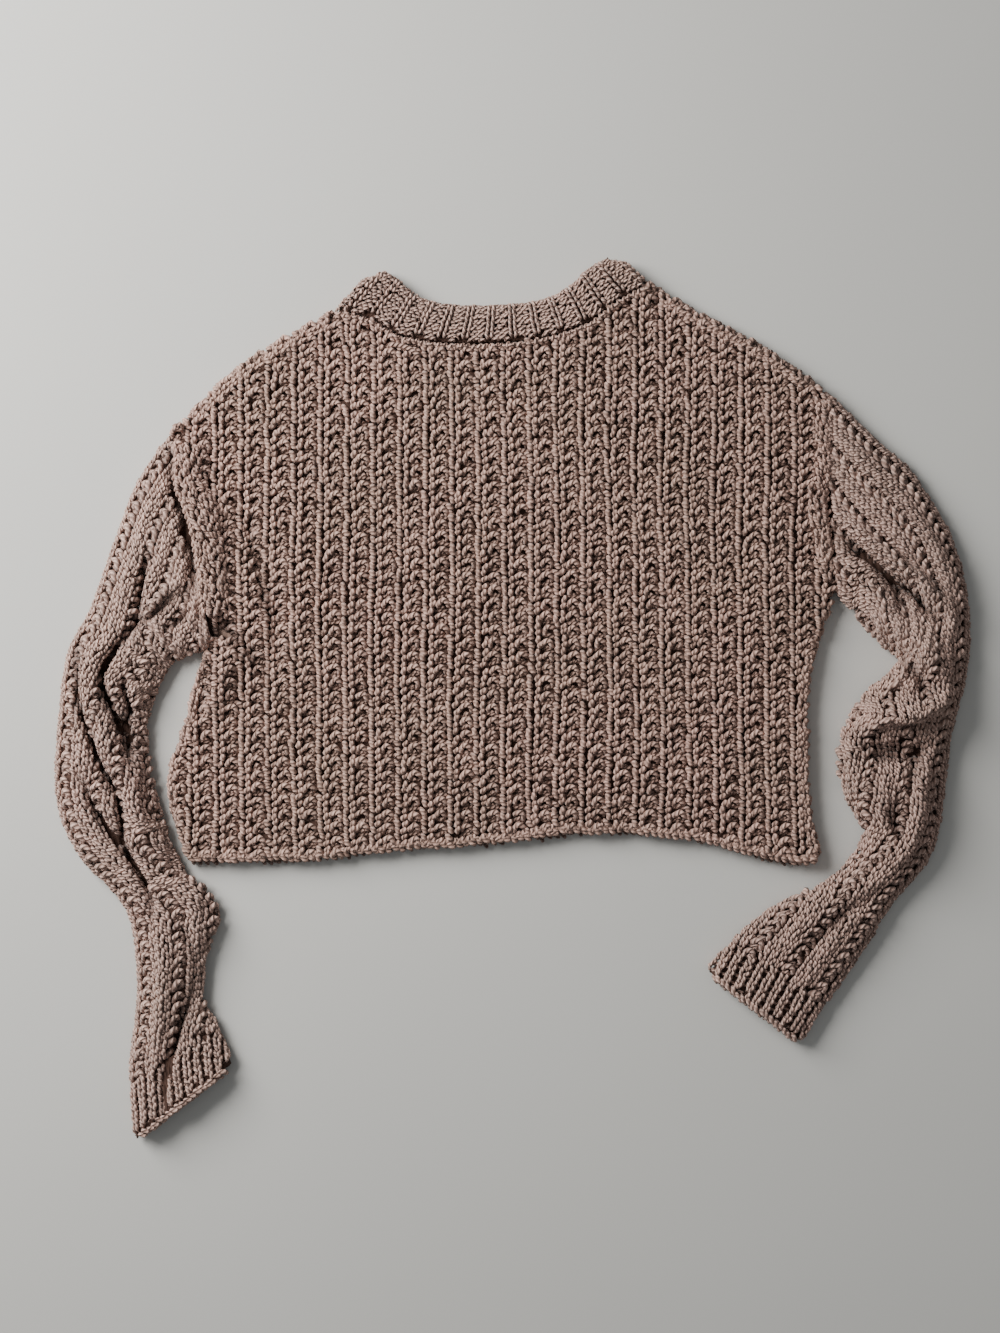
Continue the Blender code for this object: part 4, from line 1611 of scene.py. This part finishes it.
@dataclass
class Neckband:
    """The ribbed band, laid folded with its back half over its front half."""

    finishes: Finishes
    height: float = 33 * MM
    swell: float = 2.2 * MM
    seam_gap: float = 1.6 * MM
    margin: float = 14 * MM  # how far the surface goes past the seam's ends
    run_out: float = 60 * MM  # how far the outline does
    shoulder_slope: float = 0.3  # where the band's ends start to round
    cloth_past: float = 6 * MM  # how far the cloth goes past the seam's ends
    tuck: float = 12 * MM  # how far it goes down inside the band

    def __post_init__(self) -> None:
        """Works out the band's surface, columns along the seam and rows from it to the rim."""
        seam, rim = curve(NECK_SEAM, 90), curve(NECK_RIM, 90)
        self.length = run_of(seam)[-1]
        columns = np.arange(-self.margin, self.length + self.margin, SIZES.grid)
        rows = np.arange(0.0, 2 * self.height + self.margin / 2, SIZES.grid)
        shares = np.linspace(0, 1, 90)
        spread = columns / self.length
        flat = np.zeros((len(rows), len(columns), 2))
        for axis in range(2):
            lines = []
            for line in (seam, rim):
                inner = np.interp(spread, shares, line[:, axis])
                start = (line[3, axis] - line[0, axis]) / 3
                end = (line[-1, axis] - line[-4, axis]) / 3
                inner += np.minimum(spread, 0) * 89 * start + np.maximum(spread - 1, 0) * 89 * end
                lines.append(inner)
            share = rows[:, None] / self.height
            flat[..., axis] = lines[0] * (1 - share) + lines[1] * share
        away = unit(rim - seam) * self.run_out
        inner_ends = [rim[i] + (seam[i] - rim[i]) * self.shoulder_slope for i in (0, -1)]
        outline = np.vstack([seam[:1] - away[:1], seam[:1], inner_ends[0], rim[4:-4],
                             inner_ends[1], seam[-1:], seam[-1:] - away[-1:]])
        self.depth = nearest_on(outline, flat.reshape(-1, 2))
        points = rolled_surface(flat, outline, (), self.swell)
        self.surface = Surface(points, columns[0], 0.0, SIZES.grid)

    def knit(self) -> bpy.types.Object:
        """Knits the ribs, over the rim.

        Returns:
            All of them as one piece.
        """
        yarn, surface = Yarn("yarn_neckband", 31), self.surface
        rows = np.arange(self.seam_gap, surface.rows[-1], NECK_VEE.pitch)
        for start in np.arange(-0.5 * SIZES.rib, surface.columns[-1], SIZES.rib):
            column = np.full(len(rows), start)
            yarn.knit(surface, column, rows, NECK_VEE)
            column = np.full(len(rows), start + SIZES.rib * 0.5)
            yarn.knit(surface, column, rows, NECK_PURL)
            yarn.knit(surface, column, rows + NECK_PURL.pitch / 2, NECK_PURL_BETWEEN)
        return yarn.build(self.finishes.rib, Slot.RIB)

    def cloth(self) -> bpy.types.Object:
        """Makes the band's thin cloth, both halves of it.

        Returns:
            The piece.
        """
        points = below(self.surface.points, self.surface.normals)
        grid = points.shape[:2]
        depth = (-self.depth.side * self.depth.apart).reshape(grid)[:-1, :-1]
        beyond = np.abs(self.surface.columns[:-1] - self.length / 2) - self.length / 2
        keep = (depth > -self.height - self.tuck) & (beyond < self.cloth_past)[None]
        # the band's cloth is coloured darker, as painted shade between the stitches
        return shell("cloth_neckband", points, keep, False, self.finishes.inner, Slot.RIB)


# --------------------------------------------------------------------------- floor and light

@dataclass
class Studio:
    """The floor, the soft light and the camera."""

    distance: float = 1.6
    view_width: float = 1.0667
    look_x: float = -0.0097
    look_y: float = 0.0229
    key: float = 56.0
    fill: float = 0.24
    lamp: tuple[float, float, float] = (-1.2, 0.75, 0.85)
    lamp_size: float = 1.0
    sky: Colour = (0.92, 0.96, 1.0, 1)
    paint: Colour = (0.60, 0.585, 0.545, 1)
    floor_size: float = 12.0

    def build(self) -> None:
        """Sets up the floor, the light and the camera."""
        bpy.ops.object.select_all(action="DESELECT")
        bpy.ops.mesh.primitive_plane_add(size=self.floor_size)
        floor = bpy.context.object
        floor.name = "floor"
        floor.data.materials.append(Paint("floor_paint", self.paint).build())
        light = bpy.data.lights.new("window", "AREA")
        light.energy, light.size = self.key, self.lamp_size
        lamp = bpy.data.objects.new("window", light)
        lamp.location = self.lamp
        lamp.rotation_mode = "QUATERNION"
        lamp.rotation_quaternion = (-lamp.location).to_track_quat("-Z", "Y")
        world = bpy.data.worlds.new("room")
        world.use_nodes = True
        room = world.node_tree.nodes["Background"]
        room.inputs["Color"].default_value = self.sky
        room.inputs["Strength"].default_value = self.fill
        camera = bpy.data.cameras.new("camera")
        camera.lens = camera.sensor_width * self.distance / self.view_width
        view = bpy.data.objects.new("camera", camera)
        view.location = (self.look_x, self.look_y, self.distance)
        scene = bpy.context.scene
        for thing in (lamp, view):
            scene.collection.objects.link(thing)
        scene.world, scene.camera = world, view


def main() -> None:
    """Builds the garment and its studio."""
    logging.basicConfig(level=logging.INFO, format="%(message)s")
    for found in list(bpy.data.objects):
        bpy.data.objects.remove(found)
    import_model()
    finishes = make_finishes()
    Studio().build()
    body = Body(finishes)
    halves = body.knit()
    seams = body.edges()
    back, front = body.cloth()
    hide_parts("back_panel")
    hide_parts("front_panel")
    neckband = Neckband(finishes)
    band = neckband.cloth()
    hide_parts("neckband")
    neckband.knit()
    for sleeve in (
        Sleeve("left", LEFT_SLEEVE, LEFT_CUFF, LEFT_CREASES, finishes, 5, 28 * MM),
        Sleeve("right", RIGHT_SLEEVE, RIGHT_CUFF, RIGHT_CREASES, finishes, 6, 29 * MM),
    ):
        parts = (
            (sleeve.table, sleeve.creases, "sleeve", Slot.SLEEVES, sleeve.knit()),
            (sleeve.cuff, (), "cuff", Slot.RIB, sleeve.knit_cuff()),
        )
        for table, creases, part, slot, yarn in parts:
            cover, flat = sleeve.cloth(table, creases, f"cloth_{sleeve.name}_{part}", slot)
            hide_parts(f"{sleeve.name}_{part}")


if __name__ == "__main__":
    main()
